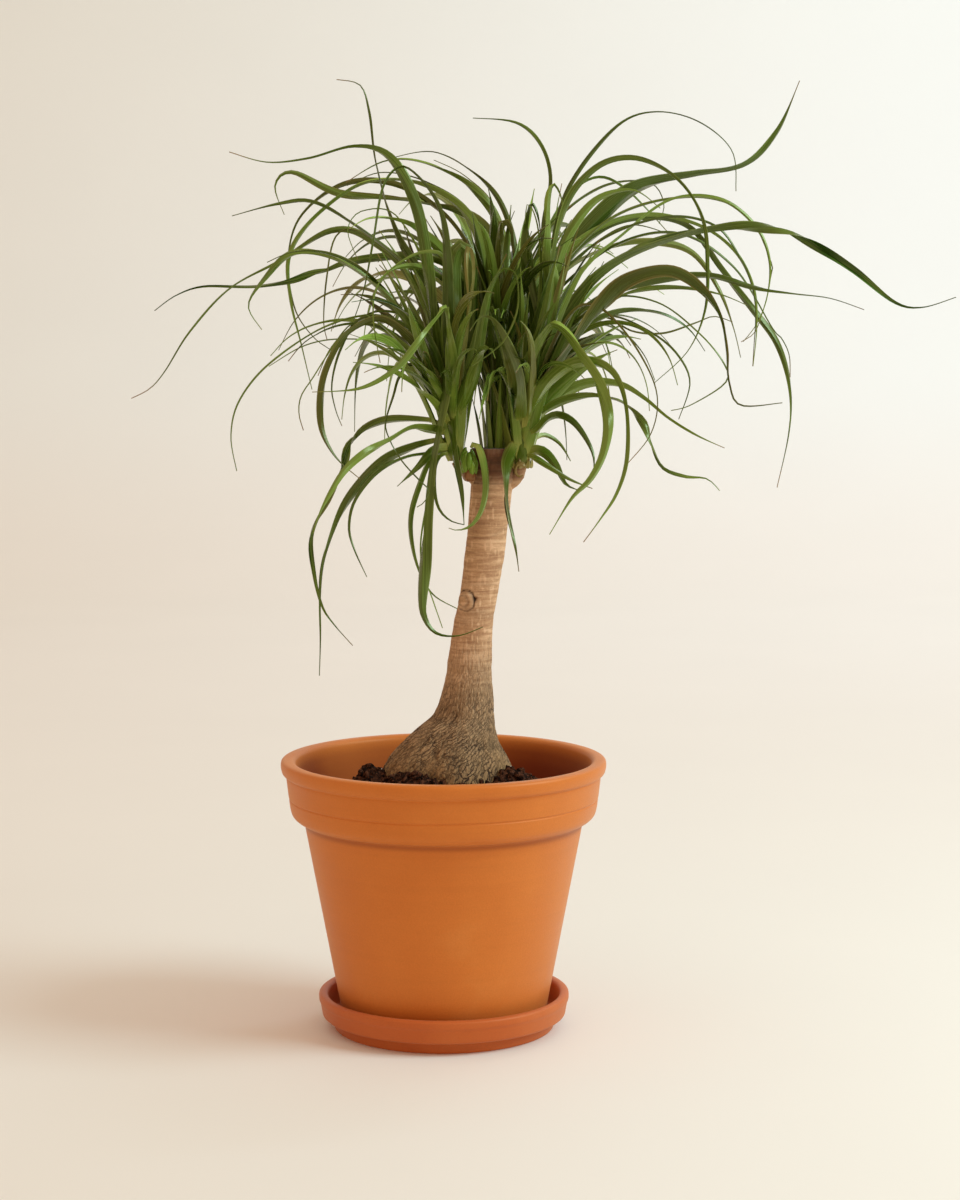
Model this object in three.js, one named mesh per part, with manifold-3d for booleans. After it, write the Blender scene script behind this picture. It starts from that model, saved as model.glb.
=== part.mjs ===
// Potted ponytail palm: three leafy heads on a sawn trunk with a swollen foot, standing in
// soil in a terracotta pot on its saucer. Millimetres, +Z up. The origin is on the floor
// under the middle of the saucer, and the plant is looked at from -Y, with +X to the right.
import * as THREE from 'three';
import { mergeVertices } from 'three/addons/utils/BufferGeometryUtils.js';
import Module from 'manifold-3d';

const wasm = await Module();
wasm.setup();

// Driving dimensions of the pottery
const LATHE_SIDES = 40;
const SEAT = 0.3; // gap between pieces that rest on each other
const SAUCER_RADIUS = 116;
const SAUCER_HEIGHT = 33;
const SAUCER_FLOOR = 10;
const SAUCER_FOOT_RADIUS = 102;
const POT_FOOT_RADIUS = 94;
const POT_LIP_RADIUS = 150;
const POT_TOP = 251;
const POT_BAND_BOTTOM = 194;
const POT_BAND_RADIUS = 141;
const POT_FLOOR = 22;
const POT_WALL = 8.5;
const DRAIN_RADIUS = 11;

// Driving dimensions of the soil and the trunk
const SOIL_AT_TRUNK = 237;
const SOIL_AT_WALL = 207;
const SOIL_CLUMP = 1.6;
const SOIL_CLEARANCE = 0.5; // round the foot and the roots
const TRUNK_SIDES = 20;
const TRUNK_TOP = 536;
const TRUNK_TOP_X = 45;
const TRUNK_TOP_RADIUS = 18.5;
const STUB_SIDES = 8;
const ROOT_COUNT = 4;
const ROOT_SIDES = 6;
const KNOT = new THREE.Vector3(19, -15, 398);
const KNOT_HEIGHT = 4;
const KNOT_SPREAD = 8;

// The trunk's outline as it is seen from the front: height, left edge, right edge
const TRUNK_OUTLINE = [
  [172, -6, 14],
  [180, -24, 30],
  [194, -41, 46],
  [212, -53, 59],
  [230, -57, 64],
  [242, -56, 63],
  [251.5, -50.4, 59.2],
  [264.5, -38.9, 51.1],
  [277, -25.8, 47.8],
  [290, -9.2, 46.4],
  [305, -3.2, 46.1],
  [330, 2.8, 43.8],
  [358, 6.5, 44.2],
  [377, 9.8, 45.7],
  [389, 12.4, 47.4],
  [398, 14.2, 49],
  [407, 15.4, 50.6],
  [418, 17, 52.8],
  [434.5, 18.8, 55.2],
  [463, 22.5, 58.2],
  [492, 24.8, 62],
  [512, 25.8, 64],
  [534, 26.4, 63.7],
];

// Driving dimensions of the leaves
const LEAF_ROLL = THREE.MathUtils.degToRad(50); // how far a drawn leaf turns its face forward
const LEAF_KEEL = 0.15; // depth of a leaf's keel, as a share of its width
const LEAF_KEEL_MIN = 1.1;
const LEAF_TIP_WIDTH = 1.4;
const SLIVER = 0.03; // edges and dents finer than this are smoothed away after fusing
const STATION_STEP = 46;
const BEND_WORTH = 26; // a turn of one radian counts as this many millimetres of leaf
const LEAF_CLEARANCE = 1.5; // between leaves of different heads
const PROBE_STEP = 5; // spacing of the points at which leaves are held apart
const CORE_RADIUS = 13; // of the crowded leaf bases of a head
const SPIRAL_STEP = 2.4; // turn from one leaf base to the next, in radians
const SPIRAL_RADIUS = 2.6;
const ROOT_REACH = 26; // a leaf's first stretch lies in its own head's core
const SIDEWAYS_STEP = 9; // how far a leaf is moved in depth to get clear of another head

// The drawn leaves are outlines in the plane y = 0, as they are seen from EYE. Each is then
// moved in depth along its own lines of sight, which keeps the view from EYE as drawn.
const EYE = new THREE.Vector3(33.5, -2360, 648);

// Each head: the point where its stub ends and the core of leaf bases begins, and the stub's
// line from inside the trunk. A stub's points are x, y, z and radius.
const HEADS = {
  left: {
    stub: [[37, -2, 490, 9], [27, -5, 505, 9], [18, -7, 516, 8.4], [12, -7, 525, 8]],
    top: new THREE.Vector3(8, -6, 566),
    spread: 1,
  },
  right: {
    stub: [[52, 0, 486, 9], [62, -1, 500, 9.4], [68, -1, 510, 9], [71, -1, 520, 8.6]],
    top: new THREE.Vector3(74, -2, 562),
    spread: 1.05,
  },
  back: {
    stub: [[48, 6, 490, 9], [51, 19, 520, 8.4], [52, 25, 548, 7.4], [50, 30, 572, 7.6]],
    top: new THREE.Vector3(47, 33, 620),
    spread: 1.15,
  },
};

// Drawn leaves. wide is the width that shows, depth is the tip's place on Y, and turn is where
// along the leaf it twists over. path runs from the leaf's first clear point to its tip.
const DRAWN_LEAVES = [
  { head: 'left', wide: 10, depth: -42,
    path: [[24, 640], [25, 695], [17, 717], [9, 700], [9, 655], [6, 610], [1, 562], [-8, 510],
      [-14, 450], [-19, 400], [-17, 380], [-6, 366], [14, 364], [36, 372]] },
  { head: 'left', wide: 8, depth: -70,
    path: [[5, 566], [8, 552], [12, 525], [17, 495], [19, 466]] },
  { head: 'left', wide: 8, depth: -120,
    path: [[28, 600], [36, 650], [43, 680], [54, 698], [66, 694], [69, 675], [66, 655],
      [55, 633], [42, 621], [26, 610]] },
  { head: 'left', wide: 7, depth: 30,
    path: [[-14, 675], [-42, 731], [-60, 795], [-66, 838], [-74, 861], [-95, 866]] },
  { head: 'left', wide: 10, depth: -90,
    path: [[-12, 690], [-25, 757], [-48, 798], [-80, 808], [-121, 797], [-158, 793],
      [-192, 802]] },
  { head: 'left', wide: 9, depth: -30,
    path: [[-12, 680], [-34, 704], [-83, 741], [-118, 758], [-148, 756], [-190, 745]] },
  { head: 'left', wide: 5, depth: 20,
    path: [[-25, 680], [-66, 724], [-101, 732], [-146, 706], [-193, 681], [-229, 642],
      [-252, 606], [-266, 590], [-283, 581]] },
  { head: 'left', wide: 11, depth: -70,
    path: [[0, 585], [-15, 625], [-45, 670], [-75, 697], [-107, 712], [-138, 711], [-160, 690],
      [-176, 665], [-164, 643]] },
  { head: 'left', wide: 8, depth: -150,
    path: [[5, 640], [4, 713], [-2, 750], [-17, 776], [-37, 790], [-54, 772], [-63, 723],
      [-71, 681], [-81, 651]] },
  { head: 'left', wide: 4, depth: -20,
    path: [[-10, 680], [-40, 744], [-72, 750], [-86, 733], [-77, 706]] },
  { head: 'left', wide: 3, depth: 10,
    path: [[-30, 690], [-72, 730], [-96, 728], [-105, 690], [-108, 651], [-105, 634]] },
  { head: 'left', wide: 4, depth: -110,
    path: [[6, 660], [2, 706], [-19, 713], [-45, 700], [-61, 680], [-63, 651], [-57, 613]] },
  { head: 'left', wide: 9, depth: -100,
    path: [[-4, 592], [-15, 610], [-31, 638], [-56, 655], [-84, 645], [-100, 624], [-110, 593],
      [-111, 556], [-98, 528], [-76, 508]] },
  { head: 'left', wide: 4, depth: -50,
    path: [[-12, 620], [-45, 652], [-76, 652], [-93, 625], [-101, 594], [-98, 572],
      [-92, 556]] },
  { head: 'left', wide: 3, depth: 20,
    path: [[-8, 595], [-52, 629], [-90, 635], [-125, 629], [-158, 610]] },
  { head: 'left', wide: 3.4, depth: -30,
    path: [[-12, 625], [-55, 656], [-108, 646], [-158, 612], [-185, 579], [-193, 547],
      [-188, 515]] },
  { head: 'left', wide: 8, depth: -170,
    path: [[7, 635], [3, 663], [-8, 653], [-24, 630], [-45, 606], [-76, 590], [-119, 587]] },
  { head: 'left', wide: 6, depth: 25, turn: 0.3,
    path: [[-14, 562], [-55, 561], [-84, 544], [-91, 515], [-103, 489], [-120, 455],
      [-118, 420], [-111, 391], [-100, 374], [-83, 355]] },
  { head: 'left', wide: 9, depth: -130,
    path: [[-27, 556], [-51, 543], [-71, 532], [-90, 515], [-103, 495], [-113, 476],
      [-119, 458]] },
  { head: 'left', wide: 7, depth: -50,
    path: [[-7, 543], [-29, 537], [-54, 525], [-79, 500], [-97, 472], [-110, 437], [-114, 400],
      [-113, 360], [-114, 327]] },
  { head: 'left', wide: 3, depth: -80,
    path: [[-10, 532], [-34, 528], [-60, 514], [-80, 489], [-86, 465], [-82, 445],
      [-70, 418]] },
  { head: 'left', wide: 8, depth: -36, path: [[-9, 533], [-24, 518], [-42, 501]] },
  { head: 'left', wide: 4, depth: -32,
    path: [[-11, 525], [-21, 503], [-29, 477], [-29, 452], [-22, 424], [-9, 402], [13, 389]] },
  { head: 'left', wide: 5, depth: -95,
    path: [[20, 640], [27, 700], [23, 718], [21, 700], [23, 668], [21, 643]] },
  { head: 'left', wide: 4, depth: -60,
    path: [[-3, 527], [-7, 500], [-4, 481], [6, 470], [19, 466]] },
  { head: 'right', wide: 12, depth: -110,
    path: [[68, 580], [65, 605], [57, 632], [46, 652], [34, 655], [24, 642]] },
  { head: 'right', wide: 12, depth: -130,
    path: [[76, 600], [84, 630], [97, 650], [111, 645], [126, 624], [143, 594], [150, 562],
      [146, 532], [134, 508], [117, 490], [97, 457]] },
  { head: 'right', wide: 11, depth: -50, turn: 0.66,
    path: [[80, 590], [97, 622], [112, 655], [135, 689], [160, 710], [195, 725], [235, 735],
      [284, 735], [330, 721], [371, 697], [408, 668], [433, 663], [464, 672]] },
  { head: 'right', wide: 8, depth: -160,
    path: [[80, 575], [95, 597], [118, 613], [142, 613], [160, 598], [169, 568], [168, 525],
      [158, 494], [144, 472], [128, 450]] },
  { head: 'right', wide: 9, depth: -34,
    path: [[66, 541], [58, 522], [55, 495], [59, 470], [66, 443], [69, 423]] },
  { head: 'right', wide: 7, depth: -30,
    path: [[81, 534], [92, 532], [103, 520], [112, 503], [126, 497]] },
  { head: 'right', wide: 4, depth: -60,
    path: [[80, 529], [96, 519], [116, 507], [136, 499]] },
  { head: 'right', wide: 3, depth: 20,
    path: [[80, 543], [92, 548], [106, 540], [116, 524]] },
  { head: 'right', wide: 6, depth: -80,
    path: [[82, 551], [94, 563], [107, 566], [122, 556], [136, 532], [137, 510]] },
  { head: 'right', wide: 7, depth: -60, turn: 0.55,
    path: [[80, 558], [94, 572], [114, 581], [140, 584], [164, 578], [181, 560], [189, 538],
      [200, 518], [220, 510], [240, 508], [252, 497]] },
  { head: 'right', wide: 8, depth: -10,
    path: [[82, 563], [103, 582], [130, 595], [160, 594], [184, 581], [205, 564], [230, 548],
      [256, 536]] },
  { head: 'right', wide: 3.4, depth: -90,
    path: [[95, 620], [118, 660], [140, 664], [165, 641], [188, 604], [195, 576], [188, 547],
      [168, 522]] },
  { head: 'right', wide: 3.6, depth: 30,
    path: [[98, 615], [125, 648], [155, 656], [190, 640], [213, 620], [224, 595],
      [214, 562]] },
  { head: 'right', wide: 4, depth: 60,
    path: [[94, 605], [120, 640], [145, 655], [172, 642], [200, 640], [228, 649], [245, 655],
      [262, 650]] },
  { head: 'right', wide: 12, depth: -120,
    path: [[84, 578], [98, 603], [114, 628], [138, 660], [165, 686], [204, 696], [234, 680],
      [252, 655], [258, 625], [260, 596], [270, 575], [308, 577]] },
  { head: 'right', wide: 6, depth: 0,
    path: [[88, 590], [110, 635], [150, 668], [178, 679], [215, 681], [250, 675],
      [275, 665]] },
  { head: 'right', wide: 7, depth: 30, turn: 0.72,
    path: [[88, 600], [112, 645], [150, 675], [190, 687], [240, 692], [280, 681], [315, 675],
      [350, 671], [381, 661]] },
  { head: 'right', wide: 4.4, depth: 60,
    path: [[95, 640], [125, 695], [160, 728], [205, 760], [250, 760], [282, 736], [295, 705],
      [293, 672], [284, 648], [272, 632]] },
  { head: 'right', wide: 9, depth: 30,
    path: [[88, 625], [94, 690], [92, 735], [98, 778], [88, 809], [66, 828], [27, 832]] },
  { head: 'right', wide: 8, depth: 70, path: [[92, 640], [100, 700], [101, 740], [107, 774]] },
  { head: 'right', wide: 6, depth: -20,
    path: [[84, 630], [88, 690], [85, 735], [77, 756], [74, 738]] },
  { head: 'right', wide: 4.4, depth: 10,
    path: [[88, 640], [103, 738], [121, 783], [158, 826], [192, 838], [230, 829], [260, 803],
      [264, 767]] },
  { head: 'right', wide: 5, depth: -60,
    path: [[92, 650], [106, 743], [135, 786], [172, 797], [210, 779], [234, 744], [239, 700],
      [237, 660], [222, 624], [192, 595]] },
  { head: 'right', wide: 11, depth: 50,
    path: [[86, 630], [104, 705], [120, 739], [142, 762], [172, 768], [196, 752]] },
  { head: 'back', wide: 10, depth: 90,
    path: [[55, 668], [44, 722], [15, 750], [-30, 761], [-92, 765], [-135, 784], [-151, 772],
      [-143, 746]] },
  { head: 'back', wide: 9, depth: 70,
    path: [[60, 680], [50, 738], [25, 772], [-12, 792], [-50, 795], [-87, 775]] },
  { head: 'back', wide: 5, depth: 150,
    path: [[66, 690], [57, 746], [33, 780], [-6, 802], [-45, 797]] },
  { head: 'back', wide: 4, depth: 120,
    path: [[50, 700], [46, 753], [20, 781], [-8, 795]] },
  { head: 'back', wide: 4, depth: 140,
    path: [[44, 690], [25, 748], [-15, 776], [-55, 784], [-86, 772]] },
  { head: 'back', wide: 8, depth: 60,
    path: [[40, 680], [26, 742], [-20, 775], [-70, 776], [-112, 748], [-138, 712], [-138, 672],
      [-128, 628], [-119, 589]] },
  { head: 'back', wide: 5, depth: 100,
    path: [[34, 690], [8, 740], [-38, 772], [-88, 774], [-128, 745], [-140, 705], [-134, 662],
      [-118, 637], [-102, 625]] },
  { head: 'back', wide: 9, depth: 20, turn: 0.58,
    path: [[30, 668], [4, 702], [-30, 709], [-75, 706], [-112, 696], [-140, 686], [-170, 681],
      [-215, 682], [-241, 674], [-261, 660]] },
  { head: 'back', wide: 9, depth: 40, turn: 0.86,
    path: [[80, 660], [110, 705], [150, 738], [191, 746], [225, 735], [250, 700], [280, 662],
      [303, 630], [314, 592], [314, 550], [304, 500]] },
  { head: 'back', wide: 6, depth: 120,
    path: [[72, 660], [105, 706], [142, 735], [185, 747], [232, 737], [264, 713], [281, 680],
      [284, 645], [281, 610]] },
  { head: 'back', wide: 7, depth: 90,
    path: [[75, 650], [105, 693], [145, 717], [190, 722], [225, 712], [249, 680], [263, 645],
      [270, 618]] },
  { head: 'back', wide: 11, depth: 70,
    path: [[78, 665], [103, 700], [138, 742], [175, 772], [225, 783], [272, 792], [300, 820],
      [320, 865]] },
  { head: 'back', wide: 6, depth: 150,
    path: [[76, 690], [104, 752], [135, 779], [165, 769], [207, 726]] },
  { head: 'back', wide: 4, depth: 190,
    path: [[72, 690], [98, 738], [143, 771], [185, 775], [199, 757], [195, 738]] },
  { head: 'back', wide: 3.5, depth: 200,
    path: [[80, 660], [115, 700], [142, 724], [172, 737], [209, 727]] },
];

const BUD_LEAF = { wide: 6, depth: -34,
  path: [[24, 538], [31, 538], [37, 521], [39, 500], [35, 480], [26, 466], [14, 461],
    [5, 463]] };
const BUD_FOOT = new THREE.Vector3(24, -21, 506.5);
const BUD_TOP = new THREE.Vector3(23, -22, 541);
const BUD_RADIUS = 6.4;

// Leaves that the drawing doesn't give: the crowded upright ones of each crown and those that
// arch away behind. azimuth is counted from +X towards +Y, in degrees, as are the pitches.
const GROWN_LEAVES = [
  { head: 'back', count: 12, azimuth: [0, 360], pitch: [72, 88], length: [120, 200],
    droop: [10, 60], wide: [9, 13] },
  { head: 'back', count: 18, azimuth: [15, 165], pitch: [35, 75], length: [220, 380],
    droop: [90, 135], wide: [6, 11] },
  { head: 'left', count: 9, azimuth: [60, 300], pitch: [70, 86], length: [110, 190],
    droop: [10, 50], wide: [8, 12] },
  { head: 'left', count: 8, azimuth: [70, 170], pitch: [20, 65], length: [180, 330],
    droop: [80, 120], wide: [6, 10] },
  { head: 'right', count: 9, azimuth: [-120, 120], pitch: [70, 86], length: [110, 190],
    droop: [10, 50], wide: [8, 12] },
  { head: 'right', count: 8, azimuth: [10, 110], pitch: [20, 65], length: [180, 330],
    droop: [80, 120], wide: [6, 10] },
];
const GROWN_TRIES = 12;
const GROWN_STEPS = 10;
const DROOP_POWER = 1.35;
const SEED = 2207;

// The crown as it is seen from EYE: grown leaves stay inside this ellipse
const CROWN = { x: 38, z: 668, halfWidth: 150, halfHeight: 108 };

// Finishes
const TERRACOTTA = new THREE.MeshStandardMaterial({ color: '#b5674a', roughness: 0.9 });
const SAUCER_CLAY = new THREE.MeshStandardMaterial({ color: '#a95c41', roughness: 0.88 });
const SOIL = new THREE.MeshStandardMaterial({ color: '#33261d', roughness: 1 });
const BARK = new THREE.MeshStandardMaterial({ color: '#8a6f5c', roughness: 0.9 });
const LEAF = new THREE.MeshStandardMaterial({ color: '#4a6a2c', roughness: 0.5 });
const YOUNG_LEAF = new THREE.MeshStandardMaterial({ color: '#7d9440', roughness: 0.5 });

// A small repeatable source of numbers between 0 and 1
function seeded(seed) {
  let state = seed >>> 0;
  return () => {
    state = (Math.imul(state, 1664525) + 1013904223) >>> 0;
    return state / 4294967296;
  };
}

function mix(low, high, share) {
  return low + (high - low) * share;
}

// A closed body through rings of equal point count, each counter-clockwise as seen from the
// last ring. Both ends are closed by a fan, round a middle point where a ring has over three.
function loft(rings) {
  const around = rings[0].length;
  const points = rings.flat();
  const triangles = [];
  for (let ring = 0; ring < rings.length - 1; ring += 1) {
    for (let side = 0; side < around; side += 1) {
      const here = ring * around + side;
      const beside = ring * around + ((side + 1) % around);
      triangles.push(here, beside, beside + around);
      triangles.push(here, beside + around, here + around);
    }
  }
  const lastStart = (rings.length - 1) * around;
  if (around === 3) {
    triangles.push(2, 1, 0, lastStart, lastStart + 1, lastStart + 2);
    return bodyFrom(points, triangles);
  }
  const firstMiddle = points.push(middleOf(rings[0])) - 1;
  const lastMiddle = points.push(middleOf(rings[rings.length - 1])) - 1;
  for (let side = 0; side < around; side += 1) {
    const next = (side + 1) % around;
    triangles.push(firstMiddle, next, side);
    triangles.push(lastMiddle, lastStart + side, lastStart + next);
  }
  return bodyFrom(points, triangles);
}

function middleOf(ring) {
  const sum = new THREE.Vector3();
  ring.forEach((point) => sum.add(point));
  return sum.divideScalar(ring.length);
}

function bodyFrom(points, triangles) {
  const geometry = new THREE.BufferGeometry();
  const numbers = points.flatMap((point) => [point.x, point.y, point.z]);
  geometry.setAttribute('position', new THREE.Float32BufferAttribute(numbers, 3));
  geometry.setIndex(triangles);
  return geometry;
}

// A body turned round the Z axis. Its profile is a list of radius and height, counter-clockwise
// in the half plane, that starts and ends on the axis or closes on itself.
function turned(profile) {
  const points = profile.map(([radius, height]) => new THREE.Vector2(radius, height));
  const geometry = new THREE.LatheGeometry(points, LATHE_SIDES);
  geometry.rotateX(Math.PI / 2);
  geometry.deleteAttribute('normal');
  geometry.deleteAttribute('uv');
  return withoutSlivers(mergeVertices(geometry, 1e-4));
}

// Drops the triangles that a lathe leaves without area on its axis
function withoutSlivers(geometry) {
  const index = Array.from(geometry.index.array);
  const kept = [];
  for (let start = 0; start < index.length; start += 3) {
    const [a, b, c] = index.slice(start, start + 3);
    if (a !== b && b !== c && c !== a) {
      kept.push(a, b, c);
    }
  }
  geometry.setIndex(kept);
  return geometry;
}

function toSolid(geometry) {
  const vertProperties = new Float32Array(geometry.attributes.position.array);
  const triVerts = new Uint32Array(geometry.index.array);
  return new wasm.Manifold(new wasm.Mesh({ numProp: 3, vertProperties, triVerts }));
}

// The largest piece of a solid, without loose scraps, sealed hollows or hair-thin slivers
function mainPiece(solid) {
  const pieces = solid.asOriginal().simplify(SLIVER).decompose();
  pieces.sort((one, other) => other.volume() - one.volume());
  return pieces[0];
}

function toGeometry(solid) {
  const mesh = solid.getMesh();
  const geometry = new THREE.BufferGeometry();
  geometry.setAttribute('position', new THREE.BufferAttribute(mesh.vertProperties, 3));
  geometry.setIndex(new THREE.BufferAttribute(mesh.triVerts, 1));
  return geometry;
}

function fused(geometries) {
  let whole = toSolid(geometries[0]);
  geometries.slice(1).forEach((geometry) => {
    whole = whole.add(toSolid(geometry));
  });
  return mainPiece(whole);
}

// Pottery

function saucerBody() {
  const wall = 9;
  const inner = SAUCER_RADIUS - wall;
  return turned([
    [0, 0],
    [SAUCER_FOOT_RADIUS - 2, 0],
    [SAUCER_FOOT_RADIUS, 2],
    [SAUCER_FOOT_RADIUS + 1, 10.4],
    [SAUCER_RADIUS - 2.6, 11.6],
    [SAUCER_RADIUS, 27],
    [SAUCER_RADIUS - 1.6, 31.4],
    [SAUCER_RADIUS - 4.6, SAUCER_HEIGHT],
    [SAUCER_RADIUS - 7.6, 31.4],
    [inner, 27],
    [inner - 2.6, 14],
    [inner - 7, SAUCER_FLOOR],
    [0, SAUCER_FLOOR],
  ]);
}

// Outer radius of the pot's straight wall at a height
function potWallRadius(height) {
  const low = SAUCER_FLOOR + SEAT;
  const share = (height - low) / (POT_BAND_BOTTOM - low);
  return mix(POT_FOOT_RADIUS, 128.7, share);
}

function potInnerRadius(height) {
  return potWallRadius(height) - POT_WALL;
}

function potBody() {
  const base = SAUCER_FLOOR + SEAT;
  return turned([
    [DRAIN_RADIUS, base],
    [POT_FOOT_RADIUS - 2, base],
    [POT_FOOT_RADIUS + 0.4, base + 2.4],
    [potWallRadius(POT_BAND_BOTTOM), POT_BAND_BOTTOM],
    [POT_BAND_RADIUS, 205],
    [POT_BAND_RADIUS + 3.6, 234],
    [POT_LIP_RADIUS - 1, 239.5],
    [POT_LIP_RADIUS, 244],
    [POT_LIP_RADIUS - 2.6, 249],
    [POT_LIP_RADIUS - 7, POT_TOP],
    [POT_LIP_RADIUS - 12, 250.2],
    [POT_LIP_RADIUS - 15.6, 244],
    [potInnerRadius(POT_BAND_BOTTOM), POT_BAND_BOTTOM],
    [potInnerRadius(POT_FLOOR + 4), POT_FLOOR + 4],
    [potInnerRadius(POT_FLOOR) - 4, POT_FLOOR],
    [DRAIN_RADIUS, POT_FLOOR],
    [DRAIN_RADIUS, base],
  ]);
}

// Trunk

// The trunk's middle and half width at a height, from the outline
function trunkAt(height) {
  const rows = TRUNK_OUTLINE;
  let upper = 1;
  while (upper < rows.length - 1 && rows[upper][0] < height) {
    upper += 1;
  }
  const [lowZ, lowLeft, lowRight] = rows[upper - 1];
  const [highZ, highLeft, highRight] = rows[upper];
  const share = THREE.MathUtils.clamp((height - lowZ) / (highZ - lowZ), 0, 1);
  const left = mix(lowLeft, highLeft, share);
  const right = mix(lowRight, highRight, share);
  return { x: (left + right) / 2, radius: (right - left) / 2 };
}

// How much the foot's front and back are ribbed, from 0 on the stem to 1 at the soil
function ribbing(height) {
  return THREE.MathUtils.smoothstep(320 - height, 0, 60);
}

function trunkRing(height, middleX, radius, grow) {
  const ring = [];
  for (let side = 0; side < TRUNK_SIDES; side += 1) {
    const angle = (side / TRUNK_SIDES) * 2 * Math.PI;
    const across = Math.sin(angle) ** 2;
    const rib = 1 + 0.07 * ribbing(height) * across * Math.cos(5 * angle + 0.6);
    const reach = radius * rib * mix(1, 0.94, across) + grow;
    const point = new THREE.Vector3(
      middleX + Math.cos(angle) * reach,
      Math.sin(angle) * reach,
      height,
    );
    const away = point.distanceTo(KNOT) / KNOT_SPREAD;
    const bump = KNOT_HEIGHT * Math.exp(-0.5 * away * away);
    point.x += Math.cos(angle) * bump;
    point.y += Math.sin(angle) * bump;
    ring.push(point);
  }
  return ring;
}

function trunkStem(grow) {
  const rings = TRUNK_OUTLINE.map(([height]) => {
    const { x, radius } = trunkAt(height);
    return trunkRing(height, x, radius, grow);
  });
  rings[0].forEach((point) => {
    point.z -= grow;
  });
  rings.push(trunkRing(TRUNK_TOP + grow, TRUNK_TOP_X, TRUNK_TOP_RADIUS - 1, grow));
  return loft(rings);
}

// A round tapering body through points of x, y, z and radius
function taper(stations, sides, grow) {
  const places = stations.map(([x, y, z]) => new THREE.Vector3(x, y, z));
  const rings = places.map((place, index) => {
    const before = places[Math.max(index - 1, 0)];
    const after = places[Math.min(index + 1, places.length - 1)];
    const along = after.clone().sub(before).normalize();
    const side = new THREE.Vector3(0, 1, 0).cross(along).normalize();
    const other = along.clone().cross(side);
    const radius = stations[index][3] + grow;
    const centre = place.clone();
    if (index === places.length - 1) {
      centre.addScaledVector(along, grow);
    }
    return Array.from({ length: sides }, (unused, step) => {
      const angle = (step / sides) * 2 * Math.PI;
      return centre.clone()
        .addScaledVector(side, Math.cos(angle) * radius)
        .addScaledVector(other, Math.sin(angle) * radius);
    });
  });
  return loft(rings);
}

// A thick root that leaves the foot's underside and dives through the soil
function root(number, grow) {
  const angle = (number / ROOT_COUNT) * 2 * Math.PI + 0.5;
  const course = [[18, 205, 11], [50, 172, 8], [66, 120, 5], [71, 62, 2.4]];
  const places = course.map(([reach, height, radius], step) => {
    const bend = angle + 0.16 * step * (number % 2 === 0 ? 1 : -1);
    return [3 + reach * Math.cos(bend), reach * Math.sin(bend), height, radius];
  });
  return taper(places, ROOT_SIDES, grow);
}

function trunkBody() {
  const roots = Array.from({ length: ROOT_COUNT }, (unused, number) => root(number, 0));
  const stubs = Object.values(HEADS).map((head) => taper(head.stub, STUB_SIDES, 0));
  return toGeometry(fused([trunkStem(0), ...roots, ...stubs]));
}

// Soil

function soilHeight(radius, angle) {
  const share = THREE.MathUtils.smoothstep(radius, 46, 122);
  const clumps = Math.sin(radius * 0.21 + 3 * angle) + Math.sin(7 * angle - radius * 0.13);
  return mix(SOIL_AT_TRUNK, SOIL_AT_WALL, share) + SOIL_CLUMP * clumps * 0.5;
}

function soilBody() {
  const floor = POT_FLOOR + SEAT;
  const wallTop = potInnerRadius(SOIL_AT_WALL) - SEAT - 0.4;
  const profile = [
    [potInnerRadius(POT_FLOOR) - 4.6, floor],
    [potInnerRadius(POT_FLOOR + 4) - 0.8, POT_FLOOR + 4.4],
    [potInnerRadius(190) - 0.7, 190],
    [wallTop - 0.4, SOIL_AT_WALL - 3],
  ];
  const surface = [wallTop - 6, 102, 84, 66, 48];
  const rings = profile.map(([radius, height]) => soilRing(radius, () => height));
  surface.forEach((radius) => rings.push(soilRing(radius, (angle) => soilHeight(radius, angle))));
  let whole = toSolid(loft(rings));
  whole = whole.subtract(toSolid(trunkStem(SOIL_CLEARANCE)));
  for (let number = 0; number < ROOT_COUNT; number += 1) {
    whole = whole.subtract(toSolid(root(number, SOIL_CLEARANCE)));
  }
  return toGeometry(mainPiece(whole));
}

function soilRing(radius, heightAt) {
  return Array.from({ length: LATHE_SIDES }, (unused, side) => {
    const angle = (side / LATHE_SIDES) * 2 * Math.PI;
    const x = radius * Math.cos(angle);
    const y = radius * Math.sin(angle);
    return new THREE.Vector3(x, y, heightAt(angle));
  });
}

// Leaves

// A smooth line through points, cut into short even pieces
function smoothLine(points) {
  const cuts = 10;
  const line = [];
  for (let span = 0; span < points.length - 1; span += 1) {
    const before = points[Math.max(span - 1, 0)];
    const from = points[span];
    const to = points[span + 1];
    const after = points[Math.min(span + 2, points.length - 1)];
    for (let cut = 0; cut < cuts; cut += 1) {
      line.push(splinePoint(before, from, to, after, cut / cuts));
    }
  }
  line.push(points[points.length - 1].clone());
  return line;
}

function splinePoint(before, from, to, after, share) {
  const squared = share * share;
  const cubed = squared * share;
  return new THREE.Vector3()
    .addScaledVector(before, 0.5 * (-share + 2 * squared - cubed))
    .addScaledVector(from, 0.5 * (2 - 5 * squared + 3 * cubed))
    .addScaledVector(to, 0.5 * (share + 4 * squared - 3 * cubed))
    .addScaledVector(after, 0.5 * (cubed - squared));
}

// Distance along a line at each of its points
function runAlong(line) {
  const run = [0];
  for (let index = 1; index < line.length; index += 1) {
    run.push(run[index - 1] + line[index].distanceTo(line[index - 1]));
  }
  return run;
}

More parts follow.
